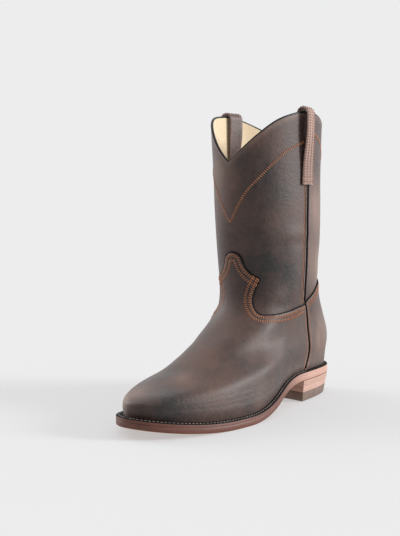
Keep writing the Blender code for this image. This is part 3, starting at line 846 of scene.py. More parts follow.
@dataclass(frozen=True)
class Stitch:
    """One stitch of thread: a short bead that dips into the leather at both ends."""

    length: float
    width: float = 0.0008
    height: float = 0.0005

    def bead(self) -> bpy.types.Object:
        """One stitch along X, standing up on Z.

        Returns:
            The stitch.
        """
        deselect()
        bpy.ops.mesh.primitive_uv_sphere_add(segments=6, ring_count=4, radius=1)
        bead = bpy.context.object
        size = Matrix.Diagonal((self.length / 2, self.width / 2, self.height, 1))
        bead.data.transform(size @ Matrix.Rotation(pi / 2, 4, "Y"))
        bpy.ops.object.shade_smooth()
        return bead

    def sew(
        self, name: str, places: Array, headings: Array, normals: Array, lean: Array | float = 0.0
    ) -> list[bpy.types.Object]:
        """Copies of the stitch at places, each with its own mesh.

        Args:
            name: Name of the copies.
            places: Points on the leather.
            headings: Directions of the row.
            normals: Directions out of the leather.
            lean: Angle in degrees between a stitch and the row, one for all or one for each.

        Returns:
            The copies.
        """
        bead = self.bead()
        side = unit(np.cross(normals, headings))
        turned = np.radians(np.broadcast_to(lean, len(places)))[:, None]
        along = headings * np.cos(turned) + side * np.sin(turned)
        across = np.cross(normals, along)
        copies = []
        for place, *axes in zip(places, along, across, normals):
            copy = bpy.data.objects.new(name, bead.data.copy())
            basis = Matrix(
                [[*(axis[row] for axis in axes), place[row]] for row in range(3)] + [[0, 0, 0, 1]]
            )
            copy.data.transform(basis)
            bpy.context.scene.collection.objects.link(copy)
            copies.append(copy)
        bpy.data.objects.remove(bead)
        return copies


def joined(
    name: str, parts: Sequence[bpy.types.Object], *materials: bpy.types.Material
) -> bpy.types.Object:
    """Join parts into one piece with its materials, riding on the boot.

    Args:
        name: Name of the piece.
        parts: The parts to join.
        materials: Materials, one for each slot.

    Returns:
        The joined piece.
    """
    deselect()
    for part in parts:
        part.select_set(True)
    bpy.context.view_layer.objects.active = parts[0]
    if len(parts) > 1:
        bpy.ops.object.join()
    piece = bpy.context.view_layer.objects.active
    piece.name = piece.data.name = name
    give(piece, *materials)
    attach(piece, "root")
    return piece


def linear(hex_colour: str) -> tuple[float, float, float, float]:
    """Linear colour of an sRGB hex value.

    Args:
        hex_colour: Colour such as #1C1818.

    Returns:
        Red, green, blue and alpha.
    """
    parts = [int(hex_colour[place : place + 2], 16) / 255 for place in (1, 3, 5)]
    straight = [
        part / 12.92 if part <= 0.04045 else ((part + 0.055) / 1.055) ** 2.4 for part in parts
    ]
    return (*straight, 1.0)


def add_node(
    tree: bpy.types.NodeTree,
    kind: str,
    sockets: dict[str | int, object] | None = None,
    **settings: object,
) -> bpy.types.Node:
    """Add a node with its settings, and set or link its sockets.

    Args:
        tree: The material's nodes.
        kind: Node type.
        sockets: Input name or number, with its value or the output that feeds it.
        settings: Properties of the node.

    Returns:
        The new node.
    """
    made = tree.nodes.new(kind)
    for key, value in settings.items():
        setattr(made, key, value)
    for key, value in (sockets or {}).items():
        if isinstance(value, bpy.types.NodeSocket):
            tree.links.new(value, made.inputs[key])
        else:
            made.inputs[key].default_value = value
    return made


def blank_material(name: str) -> tuple[bpy.types.Material, bpy.types.NodeTree, bpy.types.Node]:
    """New material with its node tree and its principled shader.

    Args:
        name: Name of the material.

    Returns:
        The material, its nodes and its shader.
    """
    made = bpy.data.materials.new(name)
    made.use_nodes = True
    return made, made.node_tree, made.node_tree.nodes["Principled BSDF"]


@dataclass(frozen=True)
class OiledLeather:
    """Oiled pull-up leather, drum dyed and waxed: dark where the oil sits, warm and light where it
    is stretched or rubbed, with a broad soft gloss; its warm, cool and pale spots also hold
    painted highlight and painted shade."""

    name: str
    dark: str
    warm: str
    pale: str
    warmth: float = 0.5
    mottle_mm: float = 18.0
    # Real grain is taken as about 0.5 mm; it is drawn coarser so that it shows in the render
    grain_mm: float = 1.5
    gloss: float = 0.47
    bump: float = 0.35

    def make(self) -> bpy.types.Material:
        """Build the material; it reads the attributes warm and edge, which hold painted highlight and
        painted shade as well as the leather's own tones and wear.
        """
        made, tree, shader = blank_material(self.name)
        place = add_node(tree, "ShaderNodeTexCoord").outputs["Object"]
        cloud = add_node(
            tree, "ShaderNodeTexNoise", {
                "Vector": place, "Scale": 1000 / self.mottle_mm, "Detail": 7.0, "Roughness": 0.66
            }
        )
        rub = add_node(
            tree, "ShaderNodeTexNoise",
            {"Vector": place, "Scale": 210.0, "Detail": 6.0, "Roughness": 0.72}
        )
        stretch = add_node(
            tree, "ShaderNodeMapping", {"Vector": place, "Scale": (60.0, 60.0, 14.0)}
        )
        streak = add_node(
            tree, "ShaderNodeTexNoise", {"Vector": stretch.outputs[0], "Scale": 1.0, "Detail": 3.0}
        )
        warm = add_node(tree, "ShaderNodeAttribute", attribute_name="warm")
        edge = add_node(tree, "ShaderNodeAttribute", attribute_name="edge")
        drift = add_node(
            tree, "ShaderNodeMath", {0: cloud.outputs[0], 1: 1.35, 2: self.warmth - 0.675},
            operation="MULTIPLY_ADD"
        )
        lifted = add_node(
            tree, "ShaderNodeMath", {0: warm.outputs["Fac"], 1: drift.outputs[0]}, operation="ADD"
        )
        rubbed = add_node(
            tree, "ShaderNodeMath", {0: rub.outputs[0], 1: 1.0, 2: lifted.outputs[0]},
            operation="MULTIPLY_ADD"
        )
        amount = add_node(
            tree, "ShaderNodeMath", {0: rubbed.outputs[0], 1: 0.48}, operation="SUBTRACT",
            use_clamp=True
        )
        body = add_node(
            tree, "ShaderNodeMix", {
                0: amount.outputs[0], 6: linear(self.dark), 7: linear(self.warm)
            }, data_type="RGBA"
        )
        # The edge attribute mixes in the pale colour: rubbed seams and edges, and painted highlights
        worn = add_node(
            tree, "ShaderNodeMath", {0: streak.outputs[0], 1: edge.outputs["Fac"]},
            operation="MULTIPLY"
        )
        full = add_node(
            tree, "ShaderNodeMix", {
                0: worn.outputs[0], 6: body.outputs[2], 7: linear(self.pale)
            }, data_type="RGBA"
        )
        pebble = add_node(
            tree, "ShaderNodeTexVoronoi", {
                "Vector": place, "Scale": 1000 / self.grain_mm, "Randomness": 1.0
            }, feature="SMOOTH_F1"
        )
        fine = add_node(
            tree, "ShaderNodeTexNoise", {"Vector": place, "Scale": 900.0, "Detail": 3.0}
        )
        grain = add_node(
            tree, "ShaderNodeMath", {0: pebble.outputs["Distance"], 1: fine.outputs[0]},
            operation="ADD"
        )
        relief = add_node(
            tree, "ShaderNodeBump",
            {"Strength": self.bump, "Distance": 0.0003, "Height": grain.outputs[0]}
        )
        swell = add_node(
            tree, "ShaderNodeBump",
            {
                "Strength": 0.32, "Distance": 0.0012, "Height": rub.outputs[0],
                "Normal": relief.outputs[0]
            },
        )
        rough = add_node(
            tree, "ShaderNodeMapRange",
            {"Value": amount.outputs[0], 3: self.gloss, 4: self.gloss + 0.16}
        )
        tree.links.new(full.outputs[2], shader.inputs["Base Color"])
        tree.links.new(rough.outputs[0], shader.inputs["Roughness"])
        tree.links.new(swell.outputs[0], shader.inputs["Normal"])
        shader.inputs["Specular IOR Level"].default_value = 0.40
        shader.inputs["Sheen Weight"].default_value = 0.10
        shader.inputs["Sheen Roughness"].default_value = 0.45
        shader.inputs["Coat Weight"].default_value = 0.06
        shader.inputs["Coat Roughness"].default_value = 0.42
        return made


@dataclass(frozen=True)
class PlainFinish:
    """Finish with two mixed tones, fine relief and one gloss, such as thread, rubber or suede."""

    name: str
    base: str
    second: str
    tone_mm: float = 6.0
    grain_mm: float = 0.8
    rough: float = 0.6
    bump: float = 0.3
    depth_mm: float = 0.2
    specular: float = 0.5
    sheen: float = 0.0
    metal: float = 0.0
    stretch: Point = (1.0, 1.0, 1.0)
    contrast: float = 1.6
    # Third colour mixed in by the attribute pale; on the sole edge it is painted light
    pale: str | None = None

    def make(self) -> bpy.types.Material:
        """Build the material on object coordinates.

        Returns:
            The material.
        """
        made, tree, shader = blank_material(self.name)
        place = add_node(tree, "ShaderNodeTexCoord").outputs["Object"]
        scaled = add_node(
            tree, "ShaderNodeMapping", {"Vector": place, "Scale": self.stretch}
        ).outputs[0]
        tone = add_node(
            tree, "ShaderNodeTexNoise",
            {"Vector": scaled, "Scale": 1000 / self.tone_mm, "Detail": 4.0, "Roughness": 0.6}
        )
        amount = add_node(
            tree, "ShaderNodeMath", {
                0: tone.outputs[0], 1: self.contrast, 2: 0.5 - self.contrast / 2
            },
            operation="MULTIPLY_ADD", use_clamp=True,
        )
        mixed = add_node(
            tree, "ShaderNodeMix", {
                0: amount.outputs[0], 6: linear(self.base), 7: linear(self.second)
            }, data_type="RGBA"
        )
        if self.pale:
            share = add_node(tree, "ShaderNodeAttribute", attribute_name="pale").outputs["Fac"]
            mixed = add_node(
                tree, "ShaderNodeMix", {
                    0: share, 6: mixed.outputs[2], 7: linear(self.pale)
                }, data_type="RGBA"
            )
        fine = add_node(
            tree, "ShaderNodeTexNoise",
            {"Vector": scaled, "Scale": 1000 / self.grain_mm, "Detail": 4.0}
        )
        relief = add_node(
            tree, "ShaderNodeBump", {
                "Strength": self.bump, "Distance": self.depth_mm / 1000, "Height": fine.outputs[0]
            }
        )
        rough = add_node(
            tree, "ShaderNodeMapRange",
            {"Value": fine.outputs[0], 3: self.rough - 0.07, 4: self.rough + 0.07}
        )
        tree.links.new(mixed.outputs[2], shader.inputs["Base Color"])
        tree.links.new(rough.outputs[0], shader.inputs["Roughness"])
        tree.links.new(relief.outputs[0], shader.inputs["Normal"])
        shader.inputs["Specular IOR Level"].default_value = self.specular
        shader.inputs["Sheen Weight"].default_value = self.sheen
        shader.inputs["Metallic"].default_value = self.metal
        return made


# Spots of the leather's tone, partly its own and partly painted light: warm where the pull-up
# leather is stretched and painted highlight falls (above zero), cool where it lies oily and painted
# shade falls (below zero): middle in millimetres, radius in millimetres, amount
PULL_UP_TONES_AND_PAINTED_LIGHT: list[tuple[Point, float, float]] = [
    ((12, -70, 54), 42.0, 0.22),
    ((30, -15, 66), 36.0, 0.15),
    ((15, -94, 44), 13.0, 0.35),
    ((40, -80, 40), 12.0, 0.30),
    ((8, -60, 60), 17.0, 0.40),
    ((-14, -128, 32), 16.0, 0.50),
    ((-24, 8, 120), 18.0, 0.30),
    ((2, -14, 86), 20.0, 0.30),
    ((20, -4, 100), 14.0, 0.25),
    ((-14, 0, 215), 24.0, 0.45),
    ((20, 8, 262), 14.0, 0.30),
    ((34, 24, 250), 14.0, 0.20),
    ((-2, -90, 47), 8.0, -0.35),
    ((28, -122, 26), 22.0, -0.45),
    ((50, -40, 26), 16.0, -0.30),
    ((35, -36, 54), 16.0, -0.35),
    ((48, 10, 40), 15.0, -0.20),
    ((41, 37, 55), 16.0, -0.25),
    ((26, 16, 135), 24.0, -0.45),
    ((30, 11, 220), 26.0, -0.35),
    ((40, 42, 125), 20.0, -0.25),
    ((42, 82, 187), 22.0, 0.20),
    ((33, 99, 72), 16.0, -0.15),
    ((30, 116, 50), 16.0, 0.30),
    ((-40, 40, 180), 30.0, 0.25),
    ((-44, 20, 70), 22.0, -0.30),
    ((-44, -50, 40), 22.0, 0.30),
    ((0, 130, 180), 26.0, 0.25),
    ((0, 140, 70), 24.0, -0.25),
]

# Painted highlights: spots painted pale where the light grazes the leather's edges and where the key
# light falls from behind: middle in millimetres, radius in millimetres, amount
PAINTED_HIGHLIGHTS: list[tuple[Point, float, float]] = [
    ((-16, -134, 30), 15.0, 0.55),
    ((-16, 0, 232), 18.0, 0.30),
    ((-14, 2, 190), 16.0, 0.15),
    ((42, 84, 195), 26.0, 0.60),
    ((40, 88, 140), 24.0, 0.60),
    ((32, 108, 66), 22.0, 0.45),
    ((15, -94, 45), 9.0, 0.15),
    ((54, -28, 22), 14.0, 0.12),
    ((-40, 70, 150), 30.0, 0.25),
    ((0, 140, 110), 28.0, 0.25),
]


def blended(spots: Sequence[tuple[Point, float, float]], points: Array) -> Array:
    """Sum of soft spots at points.

    Args:
        spots: Middle in millimetres, radius in millimetres and amount of each.
        points: Points in metres, one row each.

    Returns:
        One amount for each point.
    """
    total = np.zeros(len(points))
    for middle, radius, amount in spots:
        away = np.linalg.norm(points * 1000 - np.array(middle, float), axis=1)
        total += amount * bell(away, radius)
    return total


def nearness(points: Array, line: Array, reach: float) -> Array:
    """How close points lie to a line of points, from 1 on it to 0 at the reach.

    Args:
        points: Points in metres, one row each.
        line: Points of the line.
        reach: Distance at which nothing is left.

    Returns:
        One share for each point.
    """
    nearest = np.full(len(points), 1e9)
    for start in range(0, len(line), 40):
        away = np.linalg.norm(points[:, None, :] - line[None, start : start + 40, :], axis=2)
        nearest = np.minimum(nearest, away.min(axis=1))
    return np.clip(1 - nearest / reach, 0, 1)


def tube_of(
    name: str, line: Array, headings: Array, normals: Array, half_width: Array | float, half_height: Array | float,
    sides: int = 12, closed: bool = False,
) -> bpy.types.Object:
    """Round or oval cord along a line.

    Args:
        name: Name of the piece.
        line: Points along its middle.
        headings: Directions along it.
        normals: Directions out of the leather.
        half_width: Half its width across.
        half_height: Half its height along the normals.
        sides: Faces round it.
        closed: Whether its end meets its start.

    Returns:
        The cord.
    """
    side = unit(np.cross(normals, headings))
    last = len(line) - 1
    widths = np.broadcast_to(half_width, len(line))
    heights = np.broadcast_to(half_height, len(line))

    def place(u: Array, v: Array) -> Array:
        """Point of the cord's face.

        Args:
            u: Share across the grid.
            v: Share up the grid.

        Returns:
            Points, one row each.
        """
        row = np.rint(v * last).astype(int)
        angle = (2 * pi * u)[:, None]
        across = side[row] * widths[row, None] * np.cos(angle)
        return line[row] + across + normals[row] * heights[row, None] * np.sin(angle)

    piece = sheet_of(name, sides, last, place)
    close_seams(piece, caps=not closed, turn_out=True)
    return piece


@dataclass
class Shaft:
    """The upper's two skins: oiled leather outside, suede lining inside, over the last."""

    last: Last
    columns: int = 240
    rows: int = 132
    leather: float = 0.0011
    lining: float = 0.0010
    lining_start: float = 0.7

    def skin_of(
        self, name: str, proud: float, thickness: float, columns: int, rows: int
    ) -> bpy.types.Object:
        """One skin of the upper, from the welt to the collar, thickened inwards.

        Args:
            name: Name of the piece.
            proud: Distance outwards from the upper's face.
            thickness: Thickness, inwards.
            columns: Faces round it.
            rows: Faces up it.

        Returns:
            The skin.
        """
        start = 0.0 if proud == 0 else self.lining_start

        def place(u: Array, v: Array) -> Array:
            """Point of the skin."""
            turn = 1 - u
            return self.last.skin(turn, start + v * (self.last.collar_level(turn) - start), proud)

        piece = sheet_of(name, columns, rows, place)
        close_seams(piece)
        finish_with(piece, ("SOLIDIFY", {"thickness": thickness, "offset": -1.0}))
        soften(piece, 60)
        return piece

    def build(self, leather: bpy.types.Material, suede: bpy.types.Material) -> None:
        """Make both skins and dress them.

        Args:
            leather: Material of the leather.
            suede: Material of the lining.
        """
        skin = self.skin_of("shaft_leather", 0.0, self.leather, self.columns, self.rows)
        points = coordinates(skin)
        # Warm and cool tones: partly the leather's own, partly painted highlight and painted shade
        mark(skin, "warm", blended(PULL_UP_TONES_AND_PAINTED_LIGHT, points))
        turns = np.linspace(0, 1, 200)
        rim = self.last.skin(turns, self.last.collar_level(turns))
        levels = np.linspace(7, LAST_LEVEL, 160)
        seams = np.concatenate(
            [self.last.skin(self.last.side_seam(side, levels), levels) for side in Side]
        )
        worn = np.maximum(nearness(points, rim, 0.006) * 0.4, nearness(points, seams, 0.006) * 0.9)
        # Pale where seams and rim are rubbed, and painted highlights
        mark(skin, "edge", np.maximum(worn, blended(PAINTED_HIGHLIGHTS, points)))
        give(skin, leather)
        dress(skin, "upper")
        inside = self.skin_of("shaft_lining", -self.leather - 0.0002, self.lining, 180, 90)
        give(inside, suede)
        dress(inside, "upper")


@dataclass
class Overlay:
    """Leather overlay cut to its pattern, wrapped on the upper and stitched in two rows."""

    last: Last
    name: str
    edge: Sequence[tuple[float, float]]
    corner: int
    front: bool
    columns: int = 260
    rows: int = 84
    rounding: float = 0.0013
    bead: float = 0.0007
    rows_in: tuple[float, ...] = (0.0026, 0.0070)

    def mirrored(self, rows: Array) -> Array:
        """The same rows on the other side of the boot, run the other way."""
        middle = 1.0 if self.front else 0.0
        return np.column_stack([middle - rows[::-1, 0], rows[::-1, 1]])

    @property
    def inwards(self) -> int:
        """Sign of a shift from the top edge into the overlay."""
        return -1 if self.front else 1

    @cached_property
    def edges(self) -> list[Array]:
        """The top edge in smooth runs from the lateral seam to the medial one.

        Returns:
            Rows of turn and level for each run.
        """
        rows = np.array(self.edge)
        over = flowing(
            np.concatenate([rows[self.corner :], self.mirrored(rows[self.corner :])[1:]])
        )
        if self.corner == 0:
            return [over]
        rising = flowing(rows[: self.corner + 1])
        return [rising, over, self.mirrored(rising)]

    @cached_property
    def seam_edge(self) -> Array:
        """The edge beside the lateral seam, from the welt up, clear of the piping.

        Returns:
            Rows of turn and level.
        """
        corner = self.edge[0][1]
        levels = np.append(np.linspace(-0.5, corner - 0.15, 40), corner)
        turns = self.last.seam_turn(levels)
        clear = self.last.turns_across(0.0017, turns, levels)
        return np.column_stack([turns + (clear if self.front else -clear), levels])

    @cached_property
    def outline(self) -> Array:
        """The whole outline in turns and levels."""
        rows = [self.seam_edge, *(run[1:] for run in self.edges), self.mirrored(self.seam_edge)[1:]]
        return np.concatenate(rows)

    def cut(self) -> bpy.types.Object:
        """Slab of pattern space cut to the outline; a level takes a tenth of a turn.

        Returns:
            The flat slab.
        """
        outline = self.outline
        turns, levels = outline.T
        low, high, top = turns.min() - 0.01, turns.max() + 0.01, levels.max() + 0.2

        def place(u: Array, v: Array) -> Array:
            """Point of the flat blank."""
            return np.column_stack([low + (high - low) * u, top * v / 10, np.zeros(len(u))])

        blank = sheet_of(self.name, self.columns, self.rows, place)
        finish_with(blank, ("SOLIDIFY", {"thickness": 0.1, "offset": 1.0}))
        deselect()
        bpy.ops.mesh.primitive_circle_add(vertices=len(outline), fill_type="NGON", radius=1)
        knife = bpy.context.object
        put(knife, np.column_stack([turns, levels / 10, np.full(len(turns), 0.05)]))
        finish_with(knife, ("SOLIDIFY", {"thickness": 0.2, "offset": 0.0}))
        close_seams(knife, turn_out=True)
        finish_with(
            blank, ("BOOLEAN", {"operation": "INTERSECT", "object": knife, "solver": "EXACT"})
        )
        bpy.data.objects.remove(knife)
        return blank

    def build(self, leather: bpy.types.Material, ink: bpy.types.Material) -> None:
        """Cut the overlay, wrap it on the upper and ink its edge.

        Args:
            leather: Material of the leather.
            ink: Material of cut edges.
        """
        piece = self.cut()
        flat = coordinates(piece)
        high = flat[:, 2] > 0.05
        inked = [
            bool(
                high[list(face.vertices)].any() and not high[list(face.vertices)].all()
            ) for face in piece.data.polygons
        ]
        turns, levels = flat[:, 0], flat[:, 1] * 10
        plain = self.last.skin(turns, levels, self.last.gap)
        rim = self.last.skin(*self.outline.T, self.last.gap)
        shoulder = nearness(plain, rim, self.rounding)
        thick = self.last.overlay * (0.45 + 0.55 * np.sqrt(np.clip(1 - shoulder**2, 0, 1)))
        put(piece, self.last.skin(turns, levels, self.last.gap + np.where(high, thick, 0.0)))
        give(piece, leather, ink)
        piece.data.polygons.foreach_set("material_index", np.array(inked, np.int32))
        close_seams(piece, turn_out=True)
        soften(piece, 50)
        points = coordinates(piece)
        # Warm and cool tones: partly the leather's own, partly painted highlight and painted shade
        mark(piece, "warm", blended(PULL_UP_TONES_AND_PAINTED_LIGHT, points))
        edge = self.last.skin(*np.concatenate(self.edges).T, self.last.gap)
        seam = self.last.skin(*self.seam_edge.T, self.last.gap)
        other = self.last.skin(*self.mirrored(self.seam_edge).T, self.last.gap)
        worn = np.maximum(
            nearness(points, np.concatenate([seam, other]), 0.004) * 0.9,
            nearness(points, edge, 0.0025) * 0.25
        )
        # Pale where seams and edges are rubbed, and painted highlights
        mark(piece, "edge", np.maximum(worn, blended(PAINTED_HIGHLIGHTS, points)))
        dress(piece, self.name)

    def stitch(self, thread: bpy.types.Material) -> None:
        """Sew the double row along the top edge: short strokes across it.

        Args:
            thread: Material of the thread.
        """
        proud = self.last.gap + self.last.overlay
        copies = []
        for run in self.edges:
            line = Seamline(self.last, run[:, 0], run[:, 1], proud)
            for depth in self.rows_in:
                places = line.shifted(depth * self.inwards).spots(0.0022)
                copies += Stitch(0.0032, 0.0010, 0.0005).sew("stitch", *places, lean=82)
        joined(self.name + "_stitching", copies, thread)

    def bead_edge_with_ink_and_painted_shadow(self, ink: bpy.types.Material) -> None:
        """Run a black bead along the foot of the cut edge: edge dressing, and painted shadow where the edge shades
        the upper.

        Args:
            ink: Material of cut edges.
        """
        beads = []
        for run in self.edges:
            line = Seamline(
                self.last, run[:, 0], run[:, 1], self.last.gap + 0.0006
            ).shifted(-0.0003 * self.inwards)
            places, headings, normals = line.spots(0.0010)
            bead = tube_of("bead", places, headings, normals, self.bead, self.bead, 8)
            soften(bead, 60)
            beads.append(bead)
        joined(self.name + "_edge_ink_and_painted_shadow", beads, ink)


@dataclass
class SideSeam:
    """A side seam: black piping with a row of stitches at each side of it."""

    last: Last
    side: Side
    radius: float = 0.0011
    strap_drop: float = 0.070

    @property
    def label(self) -> str:
        """The side in a piece's name."""
        return self.side.name.lower()

    def line(self) -> Seamline:
        """The piping's middle, from the welt up to the pull strap.

        Returns:
            The line.
        """
        levels = np.linspace(0, LAST_LEVEL, 400)
        turns = self.last.side_seam(self.side, levels)
        proud = 2 * self.last.gap + self.radius
        points = self.last.skin(turns, levels, proud)
        turn = float(self.last.side_seam(self.side, np.array(float(LAST_LEVEL))))
        top = self.last.point(turn, self.last.collar_level(turn))[2]
        low = self.last.seat_z(points[0, 1]) + self.last.gap + self.radius
        kept = (points[:, 2] > low) & (points[:, 2] < top - self.strap_drop + 0.002)
        return Seamline(self.last, turns[kept], levels[kept], proud)

    def build(self, trim: bpy.types.Material, thread: bpy.types.Material) -> None:
        """Make the piping and sew beside it.

        Args:
            trim: Material of the black trim.
            thread: Material of the thread.
        """
        line = self.line()
        places, headings, normals = line.spots(0.0014)
        cord = tube_of(
            "piping_cord_" + self.label, places, headings, normals, self.radius * 0.8, self.radius,
            12
        )
        soften(cord, 60)
        give(cord, trim)
        dress(cord, "piping_" + self.label)
        copies = []
        over = self.last.gap + self.last.overlay
        for away in (-0.0036, 0.0036):
            beside = line.shifted(away)
            proud = np.where(beside.levels < 7.55, over, 0.0002)
            beside = Seamline(self.last, beside.turns, beside.levels, proud)
            kept = beside.spaced(0.0026)
            kept.proud = np.where(kept.levels < 7.6, over, 0.0002)
            by_turn, by_level = kept.slopes()
            points = kept.points()
            copies += Stitch(0.0021).sew(
                "stitch", points, unit(np.gradient(points, axis=0)),
                unit(np.cross(by_level, by_turn))
            )
        joined("seam_stitching_" + self.label, copies, thread)


@dataclass
class Collar:
    """Rolled binding on the collar, and the scalloped band of stitches on the shaft under it."""

    last: Last
    half_width: float = 0.00135
    rise: float = 0.0010
    drop: float = 0.0008
    band: tuple[tuple[float, float], ...] = (
        (0.500, 180.0), (0.460, 202.0), (0.433, 214.0), (0.405, 223.0),
        (0.365, 236.0), (0.329, 247.0), (0.298, 253.0), (0.262, 258.0),
    )

    def bind(self, trim: bpy.types.Material) -> None:
        """Roll the binding over the rim.

        Args:
            trim: Material of the black trim.
        """
        turns = np.linspace(0, 1, 361)[:-1]
        levels = self.last.collar_level(turns)
        outer = self.last.skin(turns, levels)
        inner = self.last.skin(turns, levels, -self.last.wall)
        out = unit((outer - inner) * (1, 1, 0))
        middle = (outer + inner) / 2
        base = np.maximum(outer[:, 2], inner[:, 2])

        def place(u: Array, v: Array) -> Array:
            """Point of the rolled binding.

            Args:
                u: Share across the grid.
                v: Share up the grid.

            Returns:
                Points, one row each.
            """
            row = np.rint(v * 360).astype(int) % 360
            angle = 2 * pi * u
            point = middle[row] + out[row] * (np.cos(angle) * self.half_width)[:, None]
            tall = np.where(np.sin(angle) > 0, self.rise + self.last.gap, self.drop)
            point[:, 2] = base[row] + tall * np.sin(angle)
            return point

        piece = sheet_of("rolled_binding", 16, 360, place)
        close_seams(piece, turn_out=True)
        soften(piece, 70)
        give(piece, trim)
        dress(piece, "collar_binding")

    def stitch(self, thread: bpy.types.Material) -> None:
        """Sew the scalloped band: strokes to and fro between two lines.

        Args:
            thread: Material of the thread.
        """
        copies = []
        run = flowing(self.band)
        for start in (0.0, 0.5):
            for mirror in (False, True):
                turns = start + (1 - run[:, 0] if mirror else run[:, 0])
                line = Seamline(
                    self.last, turns,
                    self.last.level_at(turns, self.height(run[:, 1], turns) / 1000), 0.0001
                )
                places = line.spots(0.0022)
                lean = 78.0 if mirror else -78.0
                copies += Stitch(0.0030, 0.0010, 0.0005).sew("stitch", *places, lean=lean)
        joined("scallop_stitching", copies, thread)

    def height(self, heights: Array, turns: Array) -> Array:
        """Height of the band, which dips as far at the back as the collar does."""
        back = np.minimum(turns % 1.0, 1 - turns % 1.0) < 0.25
        return np.where(back, heights + 12, heights)


@dataclass
class PullStrap:
    """Pull loop over the collar at a side seam, ribbed lengthwise, sewn flat at both ends."""

    last: Last
    side: Side
    width: float = 0.0172
    thickness: float = 0.0022
    drop: float = 0.070
    inner_drop: float = 0.060
    rise: float = 0.0031
    stand: float = 0.0034
    flat_share: float = 0.12
    ramp_share: float = 0.75
    twist: float = radians(11)
    rib: float = 0.0005

    @property
    def label(self) -> str:
        """The side in a piece's name."""
        return self.side.name.lower()

    @cached_property
    def turn(self) -> float:
        """Turn of the seam under the strap."""
        return float(self.last.side_seam(self.side, np.array(float(LAST_LEVEL))))

    @cached_property
    def top(self) -> Array:
        """Point of the collar under the strap."""
        return self.last.point(self.turn, self.last.collar_level(self.turn))

    @cached_property
    def out(self) -> Array:
        """Direction out of the shaft there."""
        return unit(self.last.outward(self.turn, self.last.collar_level(self.turn)) * (1, 1, 0))

    def wall_reach(self, heights: Array) -> Array:
        """Reach of the upper's outer face along the direction outwards at some heights.

        Args:
            heights: Heights in metres.

        Returns:
            One reach for each height.
        """
        levels = np.linspace(self.last.lap_end, LAST_LEVEL + 0.5, 400)
        points = self.last.skin(np.full(len(levels), self.turn), levels)
        return np.interp(heights, points[:, 2], points @ self.out)

    def hollow(self) -> float:
        """How far a flat strap stands off the hollow inside of the shaft at its middle.

        Returns:
            Distance in metres.
        """
        level = self.last.collar_level(self.turn) - 1
        reach = self.last.turns_across(self.width / 2, self.turn, level)
        ends = (
            self.last.point(self.turn + reach, level) + self.last.point(self.turn - reach, level)
        ) / 2
        return float(np.linalg.norm((self.last.point(self.turn, level) - ends) * (1, 1, 0)))

    def path(self, leg_steps: int = 44, arch_steps: int = 28) -> Array:
        """Middle line, up outside, over the collar and down inside: reach, height and twist.

        Args:
            leg_steps: Steps up each leg.
            arch_steps: Steps over the collar.

        Returns:
            Rows of reach, height and twist.
        """
        half = self.thickness / 2
        seat = self.last.gap + half
        arch_reach = self.stand + seat + self.last.wall / 2
        middle_z = self.top[2] + self.rise + half - arch_reach
        shares = np.linspace(0, 1, leg_steps + 1)[:-1]
        loose = smooth((shares - self.flat_share) / self.ramp_share)
        legs = []
        for drop, face, rest in (
            (self.drop, 0.0, 0.0), (self.inner_drop, -self.last.wall, self.hollow())
        ):
            heights = self.top[2] - drop + (middle_z - self.top[2] + drop) * shares
            stand = seat + rest + (self.stand - rest) * loose
            away = stand if face == 0 else -stand
            legs.append(
                np.column_stack(
                    [self.wall_reach(heights) + face + away, heights, self.twist * loose]
                )
            )
        angles = np.linspace(0, pi, arch_steps + 1)
        centre = self.wall_reach(middle_z) - self.last.wall / 2
        arch = np.column_stack([
            centre + arch_reach * np.cos(angles),
            middle_z + arch_reach * np.sin(angles),
            np.full(len(angles), self.twist),
        ])
        return np.concatenate([legs[0], arch, legs[1][::-1]])

    @cached_property
    def frames(self) -> tuple[Array, Array, Array, Array]:
        """Middle points, directions across, directions out of the strap and half widths along it.

        Returns:
            Middle points, directions across, directions out and half widths.
        """
        path = self.path()
        along = np.cross(self.out, (0, 0, 1))
        anchor = (self.top - self.out * (self.top @ self.out)) * (1, 1, 0)
        ahead = unit(np.gradient(path[:, :2], axis=0))
        reach, height, twist = path.T
        middle = anchor + self.out * reach[:, None] + np.outer(height, (0, 0, 1))
        sign = self.side.value
        across = along * np.cos(twist)[:, None] + self.out * (np.sin(twist) * sign)[:, None]
        square = self.out * ahead[:, 1:] + np.outer(-ahead[:, 0], (0, 0, 1))
        foot = np.linspace(0, 1, len(path))
        half = self.width / 2 * (1 + 0.05 * bell(foot, 0.05) + 0.05 * bell(1 - foot, 0.05))
        return middle, across, square, half

    def build(self, leather: bpy.types.Material, thread: bpy.types.Material) -> None:
        """Make the ribbed loop and sew its ends and ribs.

        Args:
            leather: Material of the leather.
            thread: Material of the thread.
        """
        middle, across, square, half = self.frames
        last = len(middle) - 1
        ring = 48

        def place(u: Array, v: Array) -> Array:
            """Point of the strap's face.

            Args:
                u: Share across the grid.
                v: Share up the grid.

            Returns:
                Points, one row each.
            """
            row = np.rint(v * last).astype(int)
            angle = 2 * pi * u
            wide = np.sign(np.cos(angle)) * np.abs(np.cos(angle)) ** 0.42
            thick = np.sign(np.sin(angle)) * np.abs(np.sin(angle)) ** 0.42
            ends = np.minimum(v, 1 - v)
            rib = self.rib * smooth((ends - 0.04) / 0.05)
            groove = rib * (bell(np.abs(wide) - 0.34, 0.09)) * (np.abs(thick) > 0.5)
            tall = (self.thickness / 2 - groove) * thick
            return middle[row] + across[row] * (wide * half[row])[:, None] + square[row] * tall[:, None]

